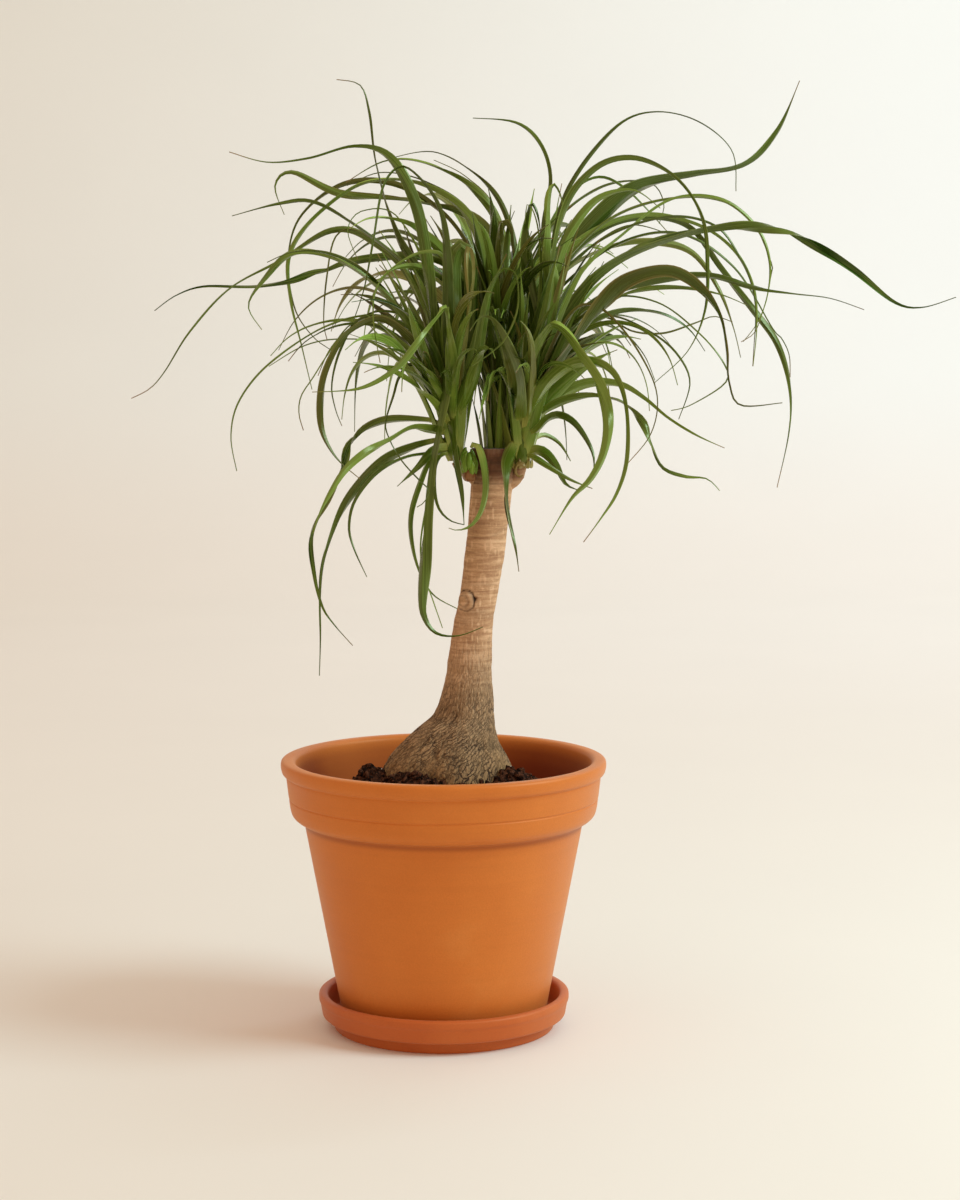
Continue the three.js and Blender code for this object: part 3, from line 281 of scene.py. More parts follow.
# Leaves that the solids leave out: threads, fine tips and three short broad blades at the top
STRANDS = (
    Drawn(LEFT, 2.4, -46, (-16, 640, -52, 660, -84, 648, -104, 622, -118, 600, -129, 583, -131, 567,
        -127, 552)),
    Drawn(LEFT, 2.5, -60, (-16, 604, -30, 612, -40, 600, -45, 585, -53, 560, -50, 545, -40, 527, -27, 512,
        -20, 505, -13, 497, -17, 487, -24, 482)),
    Drawn(LEFT, 2.4, -38, (-2, 540, -14, 490, -21, 450, -19, 420, -13, 405, -7, 388, -1, 371)),
    Drawn(RIGHT, 2.6, -70, (110, 640, 150, 672, 195, 668, 232, 640, 255, 612, 256, 595, 225, 575,
        207, 570)),
    Drawn(BACK, 2.6, 60, (90, 680, 150, 742, 220, 762, 272, 748, 296, 705, 296, 690, 293, 672, 288, 655,
        282, 640, 270, 632)),
    Drawn(BACK, 2.6, 30, (86, 672, 140, 722, 200, 744, 246, 736, 270, 705, 277, 690, 282, 670, 283, 650,
        282, 630, 281, 610)),
    Drawn(BACK, 2.4, 48, (90, 665, 150, 716, 210, 730, 262, 700, 298, 645, 307, 635, 314, 620, 315, 600)),
    Drawn(RIGHT, 9.5, -22, (98, 670, 94, 710, 92, 746, 95, 768, 101, 774, 107, 762, 108, 748), taper=6),
    Drawn(RIGHT, 8.5, -16, (85, 643, 78, 688, 74, 728, 76, 751, 81, 757, 86, 745, 89, 724), taper=6),
    Drawn(BACK, 9, -10, (52, 670, 49, 704, 51, 731, 57, 740, 63, 728, 64, 712), taper=6),
)


@dataclass(frozen=True)
class Grown:
    """Leaves that the drawing doesn't give.

    Angles are in degrees, azimuth from +X towards +Y, and crown is how much of the crown they fill.
    """

    head: HeadName
    count: int
    azimuth: Span
    pitch: Span
    length: Span
    droop: Span
    wide: Span
    crown: float = 1.0


GROWN_LEAVES = (
    Grown(BACK, 12, (0, 360), (72, 88), (120, 200), (10, 60), (9, 13)),
    Grown(BACK, 18, (15, 165), (35, 75), (220, 380), (90, 135), (6, 11)),
    Grown(LEFT, 9, (60, 300), (70, 86), (110, 190), (10, 50), (8, 12)),
    Grown(LEFT, 8, (70, 170), (20, 65), (180, 330), (80, 120), (6, 10)),
    Grown(RIGHT, 9, (-120, 120), (70, 86), (110, 190), (10, 50), (8, 12)),
    Grown(RIGHT, 8, (10, 110), (20, 65), (180, 330), (80, 120), (6, 10)),
)

# Leaves that only the scene has, which close the crown's middle and thicken its fringe
FILLING_LEAVES = (
    Grown(BACK, 16, (200, 340), (48, 84), (120, 230), (30, 100), (9, 14)),
    Grown(BACK, 14, (0, 360), (10, 60), (90, 190), (40, 120), (8, 13)),
    Grown(LEFT, 16, (0, 360), (52, 88), (110, 220), (20, 90), (9, 14)),
    Grown(LEFT, 10, (150, 320), (20, 60), (110, 200), (40, 120), (7, 12)),
    Grown(RIGHT, 16, (0, 360), (52, 88), (110, 220), (20, 90), (9, 14)),
    Grown(RIGHT, 10, (200, 400), (20, 60), (110, 200), (40, 120), (7, 12)),
    Grown(RIGHT, 11, (-45, 75), (40, 80), (210, 380), (100, 170), (6, 10), 1.5),
    Grown(LEFT, 9, (115, 235), (40, 80), (210, 360), (100, 170), (6, 10), 1.4),
    Grown(BACK, 10, (-60, 240), (50, 84), (190, 300), (60, 120), (10, 15), 1.2),
)
CROWN_MIDDLE = (38, 668)
CROWN_HALF = (150, 108)


class Draws:
    """A small repeatable source of numbers between 0 and 1."""

    def __init__(self, seed: int) -> None:
        """Starts the source from a seed."""
        self.state = seed

    def next(self) -> float:
        """The next number between 0 and 1."""
        self.state = (self.state * 1664525 + 1013904223) % 4294967296
        return self.state / 4294967296

    def between(self, low: float, high: float) -> float:
        """The next number between low and high."""
        return mix(low, high, self.next())


def mix(low: Any, high: Any, share: Any) -> Any:
    """The value that lies a share of the way from low to high."""
    return low + (high - low) * share


def smoothstep(value: Any, low: float, high: float) -> Any:
    """A soft step from 0 at low to 1 at high."""
    share = np.clip((value - low) / (high - low), 0, 1)
    return share * share * (3 - 2 * share)


def unit(vectors: Array) -> Array:
    """The vectors, each made one long."""
    return vectors / np.maximum(np.linalg.norm(vectors, axis=-1, keepdims=True), 1e-12)


def bearing(angle: float) -> tuple[Array, Array]:
    """The level direction at an angle from +X, and the level one square to it."""
    across = np.array([-math.sin(angle), math.cos(angle), 0.0])
    return np.array([math.cos(angle), math.sin(angle), 0.0]), across


def ring_angles(sides: int) -> Array:
    """Even angles round a full turn."""
    return np.arange(sides) / sides * 2 * math.pi


def pairs(first: Any, second: Any) -> Array:
    """A layer of two numbers a point."""
    return np.stack(np.broadcast_arrays(first, second), axis=-1)


class Noise:
    """Repeatable noise in space, from a hash of whole-number cells."""

    def __init__(self, seed: int) -> None:
        """Keeps the seed that sets this noise apart from others."""
        self.seed = seed

    def of_cells(self, cells: Array, salt: int = 0) -> Array:
        """A number from 0 to 1 for each cell.

        Args:
            cells: whole-number corners, three to a cell.
            salt: sets several numbers of one cell apart.

        Returns:
            An array with one number a cell.
        """
        whole = cells.astype(np.int64)
        word = whole[..., 0] * 73856093 ^ whole[..., 1] * 19349663 ^ whole[..., 2] * 83492791
        word = (word ^ (self.seed * 2654435761 + salt * 40503)) & 0xFFFFFFFF
        for _ in range(2):
            word = ((word ^ (word >> 16)) * 0x45D9F3B) & 0xFFFFFFFF
        return (word ^ (word >> 16)) / 4294967296

    def soft(self, points: Array) -> Array:
        """Soft noise from -1 to 1, with cells one unit long.

        Args:
            points: places, in units of one cell.

        Returns:
            A number for each place.
        """
        corner = np.floor(points)
        part = points - corner
        part = part * part * (3 - 2 * part)
        total = np.zeros(points.shape[:-1])
        for offset in itertools.product((0, 1), repeat=3):
            weight = np.prod(np.where(np.array(offset) == 1, part, 1 - part), axis=-1)
            total += weight * self.of_cells(corner + np.array(offset))
        return total * 2 - 1

    def rough(self, points: Array, layers: int = 3) -> Array:
        """Soft noise with finer and weaker layers on it.

        Args:
            points: places, in units of one cell.
            layers: how many layers there are.

        Returns:
            A number for each place.
        """
        total = np.zeros(points.shape[:-1])
        for layer in range(layers):
            total += self.soft(points * 2 ** layer + 17.3 * layer) / 2 ** layer
        return total

    def cells(self, points: Array) -> tuple[Array, Array]:
        """Irregular cells, as cracked cork has.

        Args:
            points: places, in units of one cell.

        Returns:
            How far each point is from its cell's border, and a number from 0 to 1 for its cell.
        """
        corner = np.floor(points)
        nearest = np.full(points.shape[:-1], 9.0)
        second = np.full(points.shape[:-1], 9.0)
        owner = np.zeros(points.shape[:-1])
        for offset in itertools.product((-1, 0, 1), repeat=3):
            cell = corner + np.array(offset)
            spot = cell + np.stack([self.of_cells(cell, salt) for salt in (1, 2, 3)], axis=-1)
            away = np.linalg.norm(points - spot, axis=-1)
            closer = away < nearest
            second = np.where(closer, nearest, np.minimum(second, away))
            owner = np.where(closer, self.of_cells(cell, 4), owner)
            nearest = np.minimum(nearest, away)
        return second - nearest, owner


# Meshes


@dataclass
class Shell:
    """A skin of points and faces in millimetres, with what its finish reads at each point."""

    points: Array
    quads: Array
    triangles: Array = field(default_factory=lambda: np.empty((0, 3), int))
    layers: dict[str, Array] = field(default_factory=dict)
    quad_finish: Array | int = 0
    triangle_finish: Array | int = 0


def grid_quads(rows: int, columns: int, ring: bool = True) -> Array:
    """The quads of a grid of points.

    Args:
        rows: how many rows of points there are.
        columns: how many points a row has.
        ring: whether the last column joins the first.

    Returns:
        Point numbers, facing out where the rows run counter-clockwise as seen from the last row.
    """
    row = np.arange(rows - 1)[:, None] * columns
    column = np.arange(columns if ring else columns - 1)[None, :]
    beside = (column + 1) % columns
    corners = [row + column, row + beside, row + columns + beside, row + columns + column]
    return np.stack(corners, axis=-1).reshape(-1, 4)


def capped(points: Array, sides: int, middles: Sequence[Any]) -> Shell:
    """Rings of points as one body, each end closed by a fan of triangles.

    Args:
        points: the points of all rings, from the first ring to the last.
        sides: how many points a ring has.
        middles: the middle points of the first ring and of the last.

    Returns:
        The body's skin.
    """
    count = len(points)
    first = np.arange(sides)
    last = first + count - sides
    fans = ((np.full(sides, count), np.roll(first, -1), first),
            (np.full(sides, count + 1), last, np.roll(last, -1)))
    triangles = np.concatenate([np.stack(fan, axis=-1) for fan in fans])
    whole = np.concatenate([points, np.array(middles, float)])
    return Shell(whole, grid_quads(count // sides, sides), triangles)


def joined(shells: Sequence[Shell]) -> Shell:
    """Several shells as one, where a layer that a shell lacks is zero.

    Args:
        shells: the shells, in the order that they take.

    Returns:
        One shell.
    """
    names = sorted({name for shell in shells for name in shell.layers})
    starts = np.cumsum([0] + [len(shell.points) for shell in shells])
    layers = {}
    for name in names:
        parts = [shell.layers.get(name, np.zeros((len(shell.points), 2))) for shell in shells]
        layers[name] = np.concatenate(parts)
    return Shell(
        np.concatenate([shell.points for shell in shells]),
        np.concatenate([shell.quads + start for shell, start in zip(shells, starts)]),
        np.concatenate([shell.triangles + start for shell, start in zip(shells, starts)]),
        layers,
        np.concatenate([np.broadcast_to(shell.quad_finish, len(shell.quads)) for shell in shells]),
        np.concatenate([np.broadcast_to(shell.triangle_finish, len(shell.triangles)) for shell in shells]),
    )


def make_piece(name: str, shell: Shell, materials: Sequence[Material],
               crease: float = 180) -> bpy.types.Object:
    """A smooth mesh object in metres.

    Args:
        name: the piece's name.
        shell: its skin, whose finishes number the materials.
        materials: its materials.
        crease: the angle in degrees from which an edge stays sharp.

    Returns:
        The object, linked to the scene.
    """
    mesh = bpy.data.meshes.new(name)
    faces = shell.quads.tolist() + shell.triangles.tolist()
    mesh.from_pydata((shell.points * MM).tolist(), [], faces)
    finish = np.concatenate([
        np.broadcast_to(shell.quad_finish, len(shell.quads)),
        np.broadcast_to(shell.triangle_finish, len(shell.triangles)),
    ]).astype(np.int32)
    mesh.polygons.foreach_set("material_index", finish)
    mesh.polygons.foreach_set("use_smooth", np.ones(len(faces), bool))
    corners = np.empty(len(mesh.loops), np.int32)
    mesh.loops.foreach_get("vertex_index", corners)
    for layer, values in shell.layers.items():
        target = mesh.uv_layers.new(name=layer)
        target.data.foreach_set("uv", values[corners].astype(np.float32).ravel())
    for material in materials:
        mesh.materials.append(material)
    mesh.validate()
    mesh.update()
    if crease < 180:
        mesh.set_sharp_from_angle(angle=math.radians(crease))
    piece = bpy.data.objects.new(name, mesh)
    bpy.context.scene.collection.objects.link(piece)
    LOG.info("%s: %d faces", name, len(faces))
    return piece


def rounded(corners: Sequence[tuple[float, float, float]], closed: bool) -> Array:
    """A profile with its corners rounded and held by a point on each side of the rounding.

    Args:
        corners: radius, height and rounding of each corner.
        closed: whether the last corner joins the first.

    Returns:
        The profile's points, as radius and height.
    """
    places = np.array([corner[:2] for corner in corners], float)
    found = []
    for index, (_, _, rounding) in enumerate(corners):
        here = places[index]
        if rounding == 0 or (not closed and index in (0, len(corners) - 1)):
            found.append(here)
            continue
        before = places[index - 1] - here
        after = places[(index + 1) % len(places)] - here
        reach_before = min(rounding, 0.45 * np.linalg.norm(before))
        reach_after = min(rounding, 0.45 * np.linalg.norm(after))
        start = here + unit(before) * reach_before
        end = here + unit(after) * reach_after
        for share in np.linspace(0, 1, 6):
            found.append(mix(mix(start, here, share), mix(here, end, share), share))
    held = []
    for index, here in enumerate(found):
        following = found[(index + 1) % len(found)]
        held.append(here)
        gap = following - here
        length = np.linalg.norm(gap)
        if length > 8 and (closed or index < len(found) - 1):
            pieces = max(2, int(length // 14))
            held.append(here + gap * 1.2 / length)
            held.extend(here + gap * step / pieces for step in range(1, pieces))
            held.append(following - gap * 1.2 / length)
    return np.array(held)


def turned(profile: Array, sides: int, closed: bool) -> Shell:
    """A body turned round the Z axis.

    Args:
        profile: radius and height, counter-clockwise; it closes on itself or starts and ends on the axis.
        sides: how many faces it has round the axis.
        closed: whether the profile closes on itself.

    Returns:
        The body's skin.
    """
    rows = profile if closed else profile[1:-1]
    angle = ring_angles(sides)
    points = np.stack([
        rows[:, :1] * np.cos(angle),
        rows[:, :1] * np.sin(angle),
        np.broadcast_to(rows[:, 1:], (len(rows), sides)),
    ], axis=-1).reshape(-1, 3)
    if not closed:
        return capped(points, sides, [(0, 0, profile[0, 1]), (0, 0, profile[-1, 1])])
    first = np.arange(sides)
    last = first + (len(rows) - 1) * sides
    seam = np.stack([last, np.roll(last, -1), np.roll(first, -1), first], axis=-1)
    return Shell(points, np.concatenate([grid_quads(len(rows), sides), seam]))


def spline(points: Array, cuts: int) -> Array:
    """A smooth line through points, each span cut into even pieces.

    Args:
        points: what the line runs through.
        cuts: how many pieces a span has.

    Returns:
        The line's points.
    """
    padded = np.concatenate([points[:1], points, points[-1:]])
    share = (np.arange(cuts) / cuts)[:, None]
    squared = share * share
    cubed = squared * share
    line = []
    for span in range(len(points) - 1):
        before, start, end, after = padded[span:span + 4]
        line.append(
            before * (0.5 * (-share + 2 * squared - cubed))
            + start * (0.5 * (2 - 5 * squared + 3 * cubed))
            + end * (0.5 * (share + 4 * squared - 3 * cubed))
            + after * (0.5 * (cubed - squared))
        )
    line.append(points[-1:])
    return np.concatenate(line)


def run_along(line: Array) -> Array:
    """Distance along a line at each of its points."""
    return np.concatenate([[0], np.cumsum(np.linalg.norm(np.diff(line[:, :3], axis=0), axis=1))])


def evenly(line: Array, count: int) -> Array:
    """A line cut into an even number of pieces, ends included.

    Args:
        line: its points, with any more numbers that they carry.
        count: how many pieces it gets.

    Returns:
        The points where it is cut, and its ends.
    """
    run = run_along(line)
    wanted = np.linspace(0, run[-1], count + 1)
    return np.stack([np.interp(wanted, run, line[:, axis]) for axis in range(line.shape[1])], axis=1)


def tube(stations: Sequence[Sequence[float]], sides: int, rows: int,
         relief: Callable[[Array], Array] | None = None) -> Shell:
    """A round tapering body through points of x, y, z and radius.

    Args:
        stations: the points with their radii.
        sides: how many faces it has round its line.
        rows: how many pieces its length has.
        relief: a function of points that gives how far the skin stands out there.

    Returns:
        The body's skin, with both ends closed.
    """
    line = evenly(spline(np.array(stations, float), 12), rows)
    along = unit(np.gradient(line[:, :3], axis=0))
    side = unit(np.cross(np.array([0.0, 1.0, 0.0]), along))
    other = np.cross(along, side)
    angle = ring_angles(sides)[None, :, None]
    out = side[:, None] * np.cos(angle) + other[:, None] * np.sin(angle)
    radius = line[:, 3][:, None]
    points = line[:, None, :3] + out * radius[..., None]
    if relief is not None:
        points = points + out * relief(points)[..., None]
    return capped(points.reshape(-1, 3), sides, (line[0, :3], line[-1, :3]))


# Materials

Inputs = tuple[dict[str, Any], dict[str, Any]]
NOISE_SPAN = {"From Min": 0.3, "From Max": 0.7}  # noise is rarely outside it


def linear(code: str) -> tuple[float, float, float, float]:
    """A colour's linear values from its sRGB hex code."""
    parts = [int(code[place:place + 2], 16) / 255 for place in (1, 3, 5)]
    return (*[part / 12.92 if part <= 0.04045 else ((part + 0.055) / 1.055) ** 2.4 for part in parts], 1.0)


def add_node(tree: bpy.types.NodeTree, kind: str, settings: dict[Any, Any] | None = None,
             links: dict[Any, Any] | None = None) -> bpy.types.Node:
    """Adds a node with its settings and links.

    Args:
        tree: the node tree.
        kind: the node's type, without the word that all types of shader node begin with.
        settings: values for its sockets or properties; "stops" sets a ramp's places and colours.
        links: other nodes' sockets, or nodes for their first one, by the input that each goes to.

    Returns:
        The new node.
    """
    node = tree.nodes.new("ShaderNode" + kind)
    for key, value in (settings or {}).items():
        if key == "stops":
            for index, (place, code) in enumerate(value):
                stop = node.color_ramp.elements[index] if index < 2 else node.color_ramp.elements.new(place)
                stop.position = place
                stop.color = linear(code)
        elif isinstance(key, int) or key in node.inputs:
            node.inputs[key].default_value = value
        else:
            setattr(node, key, value)
    for key, source in (links or {}).items():
        socket = source.outputs[0] if isinstance(source, bpy.types.Node) else source
        tree.links.new(socket, node.inputs[key])
    return node


def per_metre(size_mm: float) -> float:
    """How often a pattern repeats in a metre, from its size in millimetres."""
    return 1000 / size_mm


class Finish:
    """What a surface is made of."""

    name: str

    def inputs(self, add: partial) -> Inputs:
        """What the finish's Principled shader gets, once its other nodes are there.

        Args:
            add: add_node for the finish's own tree.

        Returns:
            What is the same all over and what differs from place to place, by the shader's inputs.
        """
        raise NotImplementedError

    def material(self) -> Material:
        """The finish as a material.

        Returns:
            The material, with a Principled shader on its output.
        """
        material = bpy.data.materials.new(self.name)
        material.use_nodes = True
        material.node_tree.nodes.clear()
        add = partial(add_node, material.node_tree)
        shader = add("BsdfPrincipled", *self.inputs(add))
        add("OutputMaterial", links={"Surface": shader})
        return material


@dataclass(frozen=True)
class Terracotta(Finish):
    """Unglazed fired clay."""

    name: str
    body: str
    warm: str
    bloom: str
    # The damp colour darkens damp clay inside, and also paints shade inside the pot and in the crease under
    # the band.
    damp: str = "#7c240a"
    sheen: str = "#ffe2b0"
    cloud_mm: float = 70
    grain_mm: float = 1.4
    turning_mm: float = 5

    def inputs(self, add: partial) -> Inputs:
        """Clouds of tone, grain, turning lines, damp, and painted shade inside and under the band.

        Args:
            add: add_node for the finish's own tree.

        Returns:
            What is the same all over, and what differs from place to place.
        """
        # Terracotta: earthenware pressed in a mould while the wheel turns, then fired unglazed.
        # It is smooth and nearly matt, with soft cloudy tones and faint level lines left by the
        # tool. Under the band it is darker and redder, which is painted shade in the crease there.
        # Inside it is darker, redder and rougher where it has drunk water; the darkening there is also
        # painted shade, growing downwards from the lip and strongest on the right and at the far left.
        place = add("TexCoord").outputs["Object"]
        cloud = add("TexNoise", {"Scale": per_metre(self.cloud_mm), "Detail": 4.0, "Roughness": 0.55},
            {"Vector": place})
        tone = add("ValToRGB", {"stops": ((0.3, self.warm), (0.58, self.body), (0.82, self.bloom))},
            {"Fac": cloud})
        squeezed = add("Mapping", {"Scale": (6, 6, per_metre(self.turning_mm))}, {"Vector": place})
        turning = add("TexNoise", {"Scale": 1.0, "Detail": 2.0}, {"Vector": squeezed})
        grain = add("TexNoise", {"Scale": per_metre(self.grain_mm), "Detail": 3.0, "Roughness": 0.65},
            {"Vector": place})
        shade = add("MapRange", {**NOISE_SPAN, "To Min": 0.95, "To Max": 1.04}, {"Value": grain})
        lines = add("MapRange", {**NOISE_SPAN, "To Min": 0.985, "To Max": 1.015}, {"Value": turning})
        both = add("Math", {"operation": "MULTIPLY"}, {0: shade, 1: lines})
        colour = add("VectorMath", {"operation": "SCALE"}, {0: tone, "Scale": both})
        # The damp layer's first number mixes in the damp colour, which is also painted shade; its second
        # makes the inside rougher.
        damp_shade_and_rough = add("SeparateXYZ", links={0: add("UVMap", {"uv_map": "damp"})})
        damp_and_painted_shade = add("Mix", {"data_type": "RGBA", 7: linear(self.damp)},
            {0: damp_shade_and_rough.outputs["X"], 6: colour})
        rough = add("MapRange", {**NOISE_SPAN, "To Min": 0.4, "To Max": 0.54}, {"Value": cloud})
        rougher = add("Math", {"operation": "MULTIPLY_ADD", 1: 0.4}, {0: damp_shade_and_rough.outputs["Y"], 2: rough})
        bump = add("Bump", {"Strength": 0.22, "Distance": 0.0006}, {"Height": grain})
        rings = add("Bump", {"Strength": 0.12, "Distance": 0.001}, {"Height": turning, "Normal": bump})
        sheen = linear(self.sheen)
        return ({"Specular Tint": sheen, "Sheen Weight": 0.14, "Sheen Roughness": 0.45, "Sheen Tint": sheen},
                {"Base Color": damp_and_painted_shade.outputs[2], "Roughness": rougher, "Normal": rings})


@dataclass(frozen=True)
class Crumbs(Finish):
    """Loose matter whose lumps differ in tone."""

    name: str
    dark: str
    middle: str
    pale: str
    lump_mm: float
    roughness: float

    def inputs(self, add: partial) -> Inputs:
        """Lumps that each have their own tone.

        Args:
            add: add_node for the finish's own tree.

        Returns:
            What is the same all over, and what differs from place to place.
        """
        # Potting soil: damp peat and composted bark, broken into crumbs. Each crumb has its own
        # brown, and the surface is deeply uneven and quite matt. Perlite is a glass puffed up by
        # heat, and differs from it only in being white.
        place = add("TexCoord").outputs["Object"]
        lumps = add("TexVoronoi", {"Scale": per_metre(self.lump_mm)}, {"Vector": place})
        dust = add("TexNoise", {"Scale": per_metre(self.lump_mm / 3), "Detail": 4.0}, {"Vector": place})
        value = add("SeparateColor", links={0: lumps.outputs["Color"]})
        blend = add("Math", {"operation": "MULTIPLY"}, {0: value, 1: dust})
        tone = add("ValToRGB", {"stops": ((0.08, self.dark), (0.3, self.middle), (0.62, self.pale))},
            {"Fac": blend})
        bump = add("Bump", {"Strength": 0.8, "Distance": 0.0015}, {"Height": dust})
        return ({"Roughness": self.roughness, "Specular IOR Level": 0.12},
                {"Base Color": tone, "Normal": bump})


@dataclass(frozen=True)
class CorkBark(Finish):
    """The trunk's bark, corky at the foot and ringed with leaf scars above."""

    name: str = "palm_bark"
    crack: str = "#2d1c10"
    cork: str = "#84694a"
    cork_pale: str = "#bb986f"
    moss: str = "#6b6a30"
    stem: str = "#be936b"
    stem_pale: str = "#dcb28a"
    stem_red: str = "#9f7353"
    collar: str = "#5c321e"
    foot_mm: Span = (372, 282)
    waver_mm: float = 50
    grain_mm: float = 1.5
    scar_mm: float = 3.4
    split_mm: tuple[float, float] = (4.0, 11.0)

    def inputs(self, add: partial) -> Inputs:
        """Cork and moss on the foot, scars and flecks on the stem, and splits.

        Args:
            add: add_node for the finish's own tree.

        Returns:
            What is the same all over, and what differs from place to place.
        """
        # Bark of a ponytail palm: the swollen foot's skin splits into fine corky plates as it grows,
        # while the stem keeps the level scars of fallen leaves. It is dry and matt throughout, and
        # the collar under the saw cut has dried to a red brown.
        place = add("TexCoord").outputs["Object"]
        height = add("SeparateXYZ", links={0: place}).outputs["Z"]
        mark = add("SeparateXYZ", links={0: add("UVMap", {"uv_map": "bark"})})
        tint = add("SeparateXYZ", links={0: add("UVMap", {"uv_map": "barktint"})})
        waver = add("TexNoise", {"Scale": per_metre(30), "Detail": 3.0}, {"Vector": place})
        wavering = add("Math", {"operation": "MULTIPLY_ADD", 1: self.waver_mm * MM}, {0: waver, 2: height})
        top, low = ((edge + self.waver_mm / 2) * MM for edge in self.foot_mm)
        foot = add("MapRange", {"interpolation_type": "SMOOTHSTEP", "From Min": top, "From Max": low},
            {"Value": wavering})

        fine = per_metre(self.grain_mm)
        tall = add("Mapping", {"Scale": (fine, fine, fine / 4)}, {"Vector": place})
        streaks = add("TexNoise", {"Scale": 1.0, "Detail": 4.0, "Roughness": 0.7}, {"Vector": tall})
        plate = add("Math", {"operation": "MULTIPLY_ADD", 1: 0.34}, {0: mark.outputs["Y"], 2: streaks})
        cork_tone = add("ValToRGB",
            {"stops": ((0.3, self.crack), (0.56, self.cork), (0.84, self.cork_pale))}, {"Fac": plate})
        damp = add("MapRange", {"From Min": 0.31, "From Max": 0.262, "To Max": 0.5}, {"Value": wavering})
        mossy = add("Mix", {"data_type": "RGBA", "blend_type": "SOFT_LIGHT", 7: linear(self.moss)},
            {0: damp, 6: cork_tone})

        level = add("Mapping", {"Scale": (30, 30, per_metre(self.scar_mm))}, {"Vector": place})
        scars = add("TexNoise", {"Scale": 1.0, "Detail": 4.0, "Roughness": 0.6, "Distortion": 0.3},
            {"Vector": level})
        speck = add("TexNoise", {"Scale": per_metre(2.4), "Detail": 4.0, "Roughness": 0.72},
            {"Vector": place})
        flecked = add("Math", {"operation": "MULTIPLY_ADD", 1: 0.3}, {0: mark.outputs["Y"], 2: scars})
        dusty = add("Math", {"operation": "MULTIPLY_ADD", 1: 0.35}, {0: speck, 2: flecked})
        stem_tone = add("ValToRGB",
            {"stops": ((0.58, self.stem_red), (0.8, self.stem), (1.0, self.stem_pale))}, {"Fac": dusty})
        upper = add("Mix", {"data_type": "RGBA", 7: linear(self.collar)},
            {0: tint.outputs["X"], 6: stem_tone})
        skin = add("Mix", {"data_type": "RGBA"}, {0: foot, 6: upper.outputs[2], 7: mossy.outputs[2]})

        flow = add("UVMap", {"uv_map": "barkflow"})
        laid = add("Mapping", {"Scale": (1 / self.split_mm[0], 1 / self.split_mm[1], 1)}, {"Vector": flow})
        wander = add("TexNoise", {"Scale": per_metre(5), "Detail": 3.0}, {"Vector": place})
        bent = add("VectorMath", {"operation": "MULTIPLY_ADD", 1: (1.6, 1.6, 0)},
            {0: wander.outputs["Color"], 2: laid})
        plates = add("TexVoronoi", {"voronoi_dimensions": "2D", "feature": "DISTANCE_TO_EDGE",
            "Scale": 1.0}, {"Vector": bent})
        split = add("MapRange", {"From Min": 0.17, "From Max": 0.04}, {"Value": plates})
        patchy = add("MapRange", {"From Min": 0.35, "From Max": 0.65, "To Min": 0.3}, {"Value": waver})
        in_foot = add("Math", {"operation": "MULTIPLY"}, {0: foot, 1: patchy})
        splits = add("Math", {"operation": "MULTIPLY"}, {0: split, 1: in_foot})
        marks_all = add("Math", {"operation": "MAXIMUM"}, {0: splits, 1: mark.outputs["X"]})
        marked = add("Mix", {"data_type": "RGBA", 7: linear(self.crack)},
            {0: marks_all, 6: skin.outputs[2]})

        rise = add("Mix", {"data_type": "FLOAT"}, {0: foot, 2: dusty, 3: streaks})
        cut = add("Math", {"operation": "SUBTRACT"}, {0: rise, 1: splits})
        bump = add("Bump", {"Strength": 0.7, "Distance": 0.0014}, {"Height": cut})
        return ({"Roughness": 0.84, "Specular IOR Level": 0.3},
                {"Base Color": marked.outputs[2], "Normal": bump})


@dataclass(frozen=True)
class SawnWood(Finish):
    """The weathered face of a saw cut."""

    name: str = "sawn_top"
    dark: str = "#2f2925"
    grey: str = "#6e665f"
    pale: str = "#a39b92"

    def inputs(self, add: partial) -> Inputs:
        """Grey patches with dark dots.

        Args:
            add: add_node for the finish's own tree.

        Returns:
            What is the same all over, and what differs from place to place.
        """
        # End grain of a palm-like stem, sawn across and left to dry: grey, fibrous and dull, with
        # faint rings and the dark dots of its fibres.
        place = add("TexCoord").outputs["Object"]
        dots = add("TexVoronoi", {"Scale": per_metre(1.8)}, {"Vector": place})
        patches = add("TexNoise", {"Scale": per_metre(9), "Detail": 5.0, "Roughness": 0.7},
            {"Vector": place})
        blend = add("Math", {"operation": "MULTIPLY_ADD", 1: 0.25},
            {0: dots.outputs["Distance"], 2: patches})
        tone = add("ValToRGB", {"stops": ((0.42, self.dark), (0.6, self.grey), (0.85, self.pale))},
            {"Fac": blend})
        bump = add("Bump", {"Strength": 0.6, "Distance": 0.001}, {"Height": blend})
        return {"Roughness": 0.8}, {"Base Color": tone, "Normal": bump}


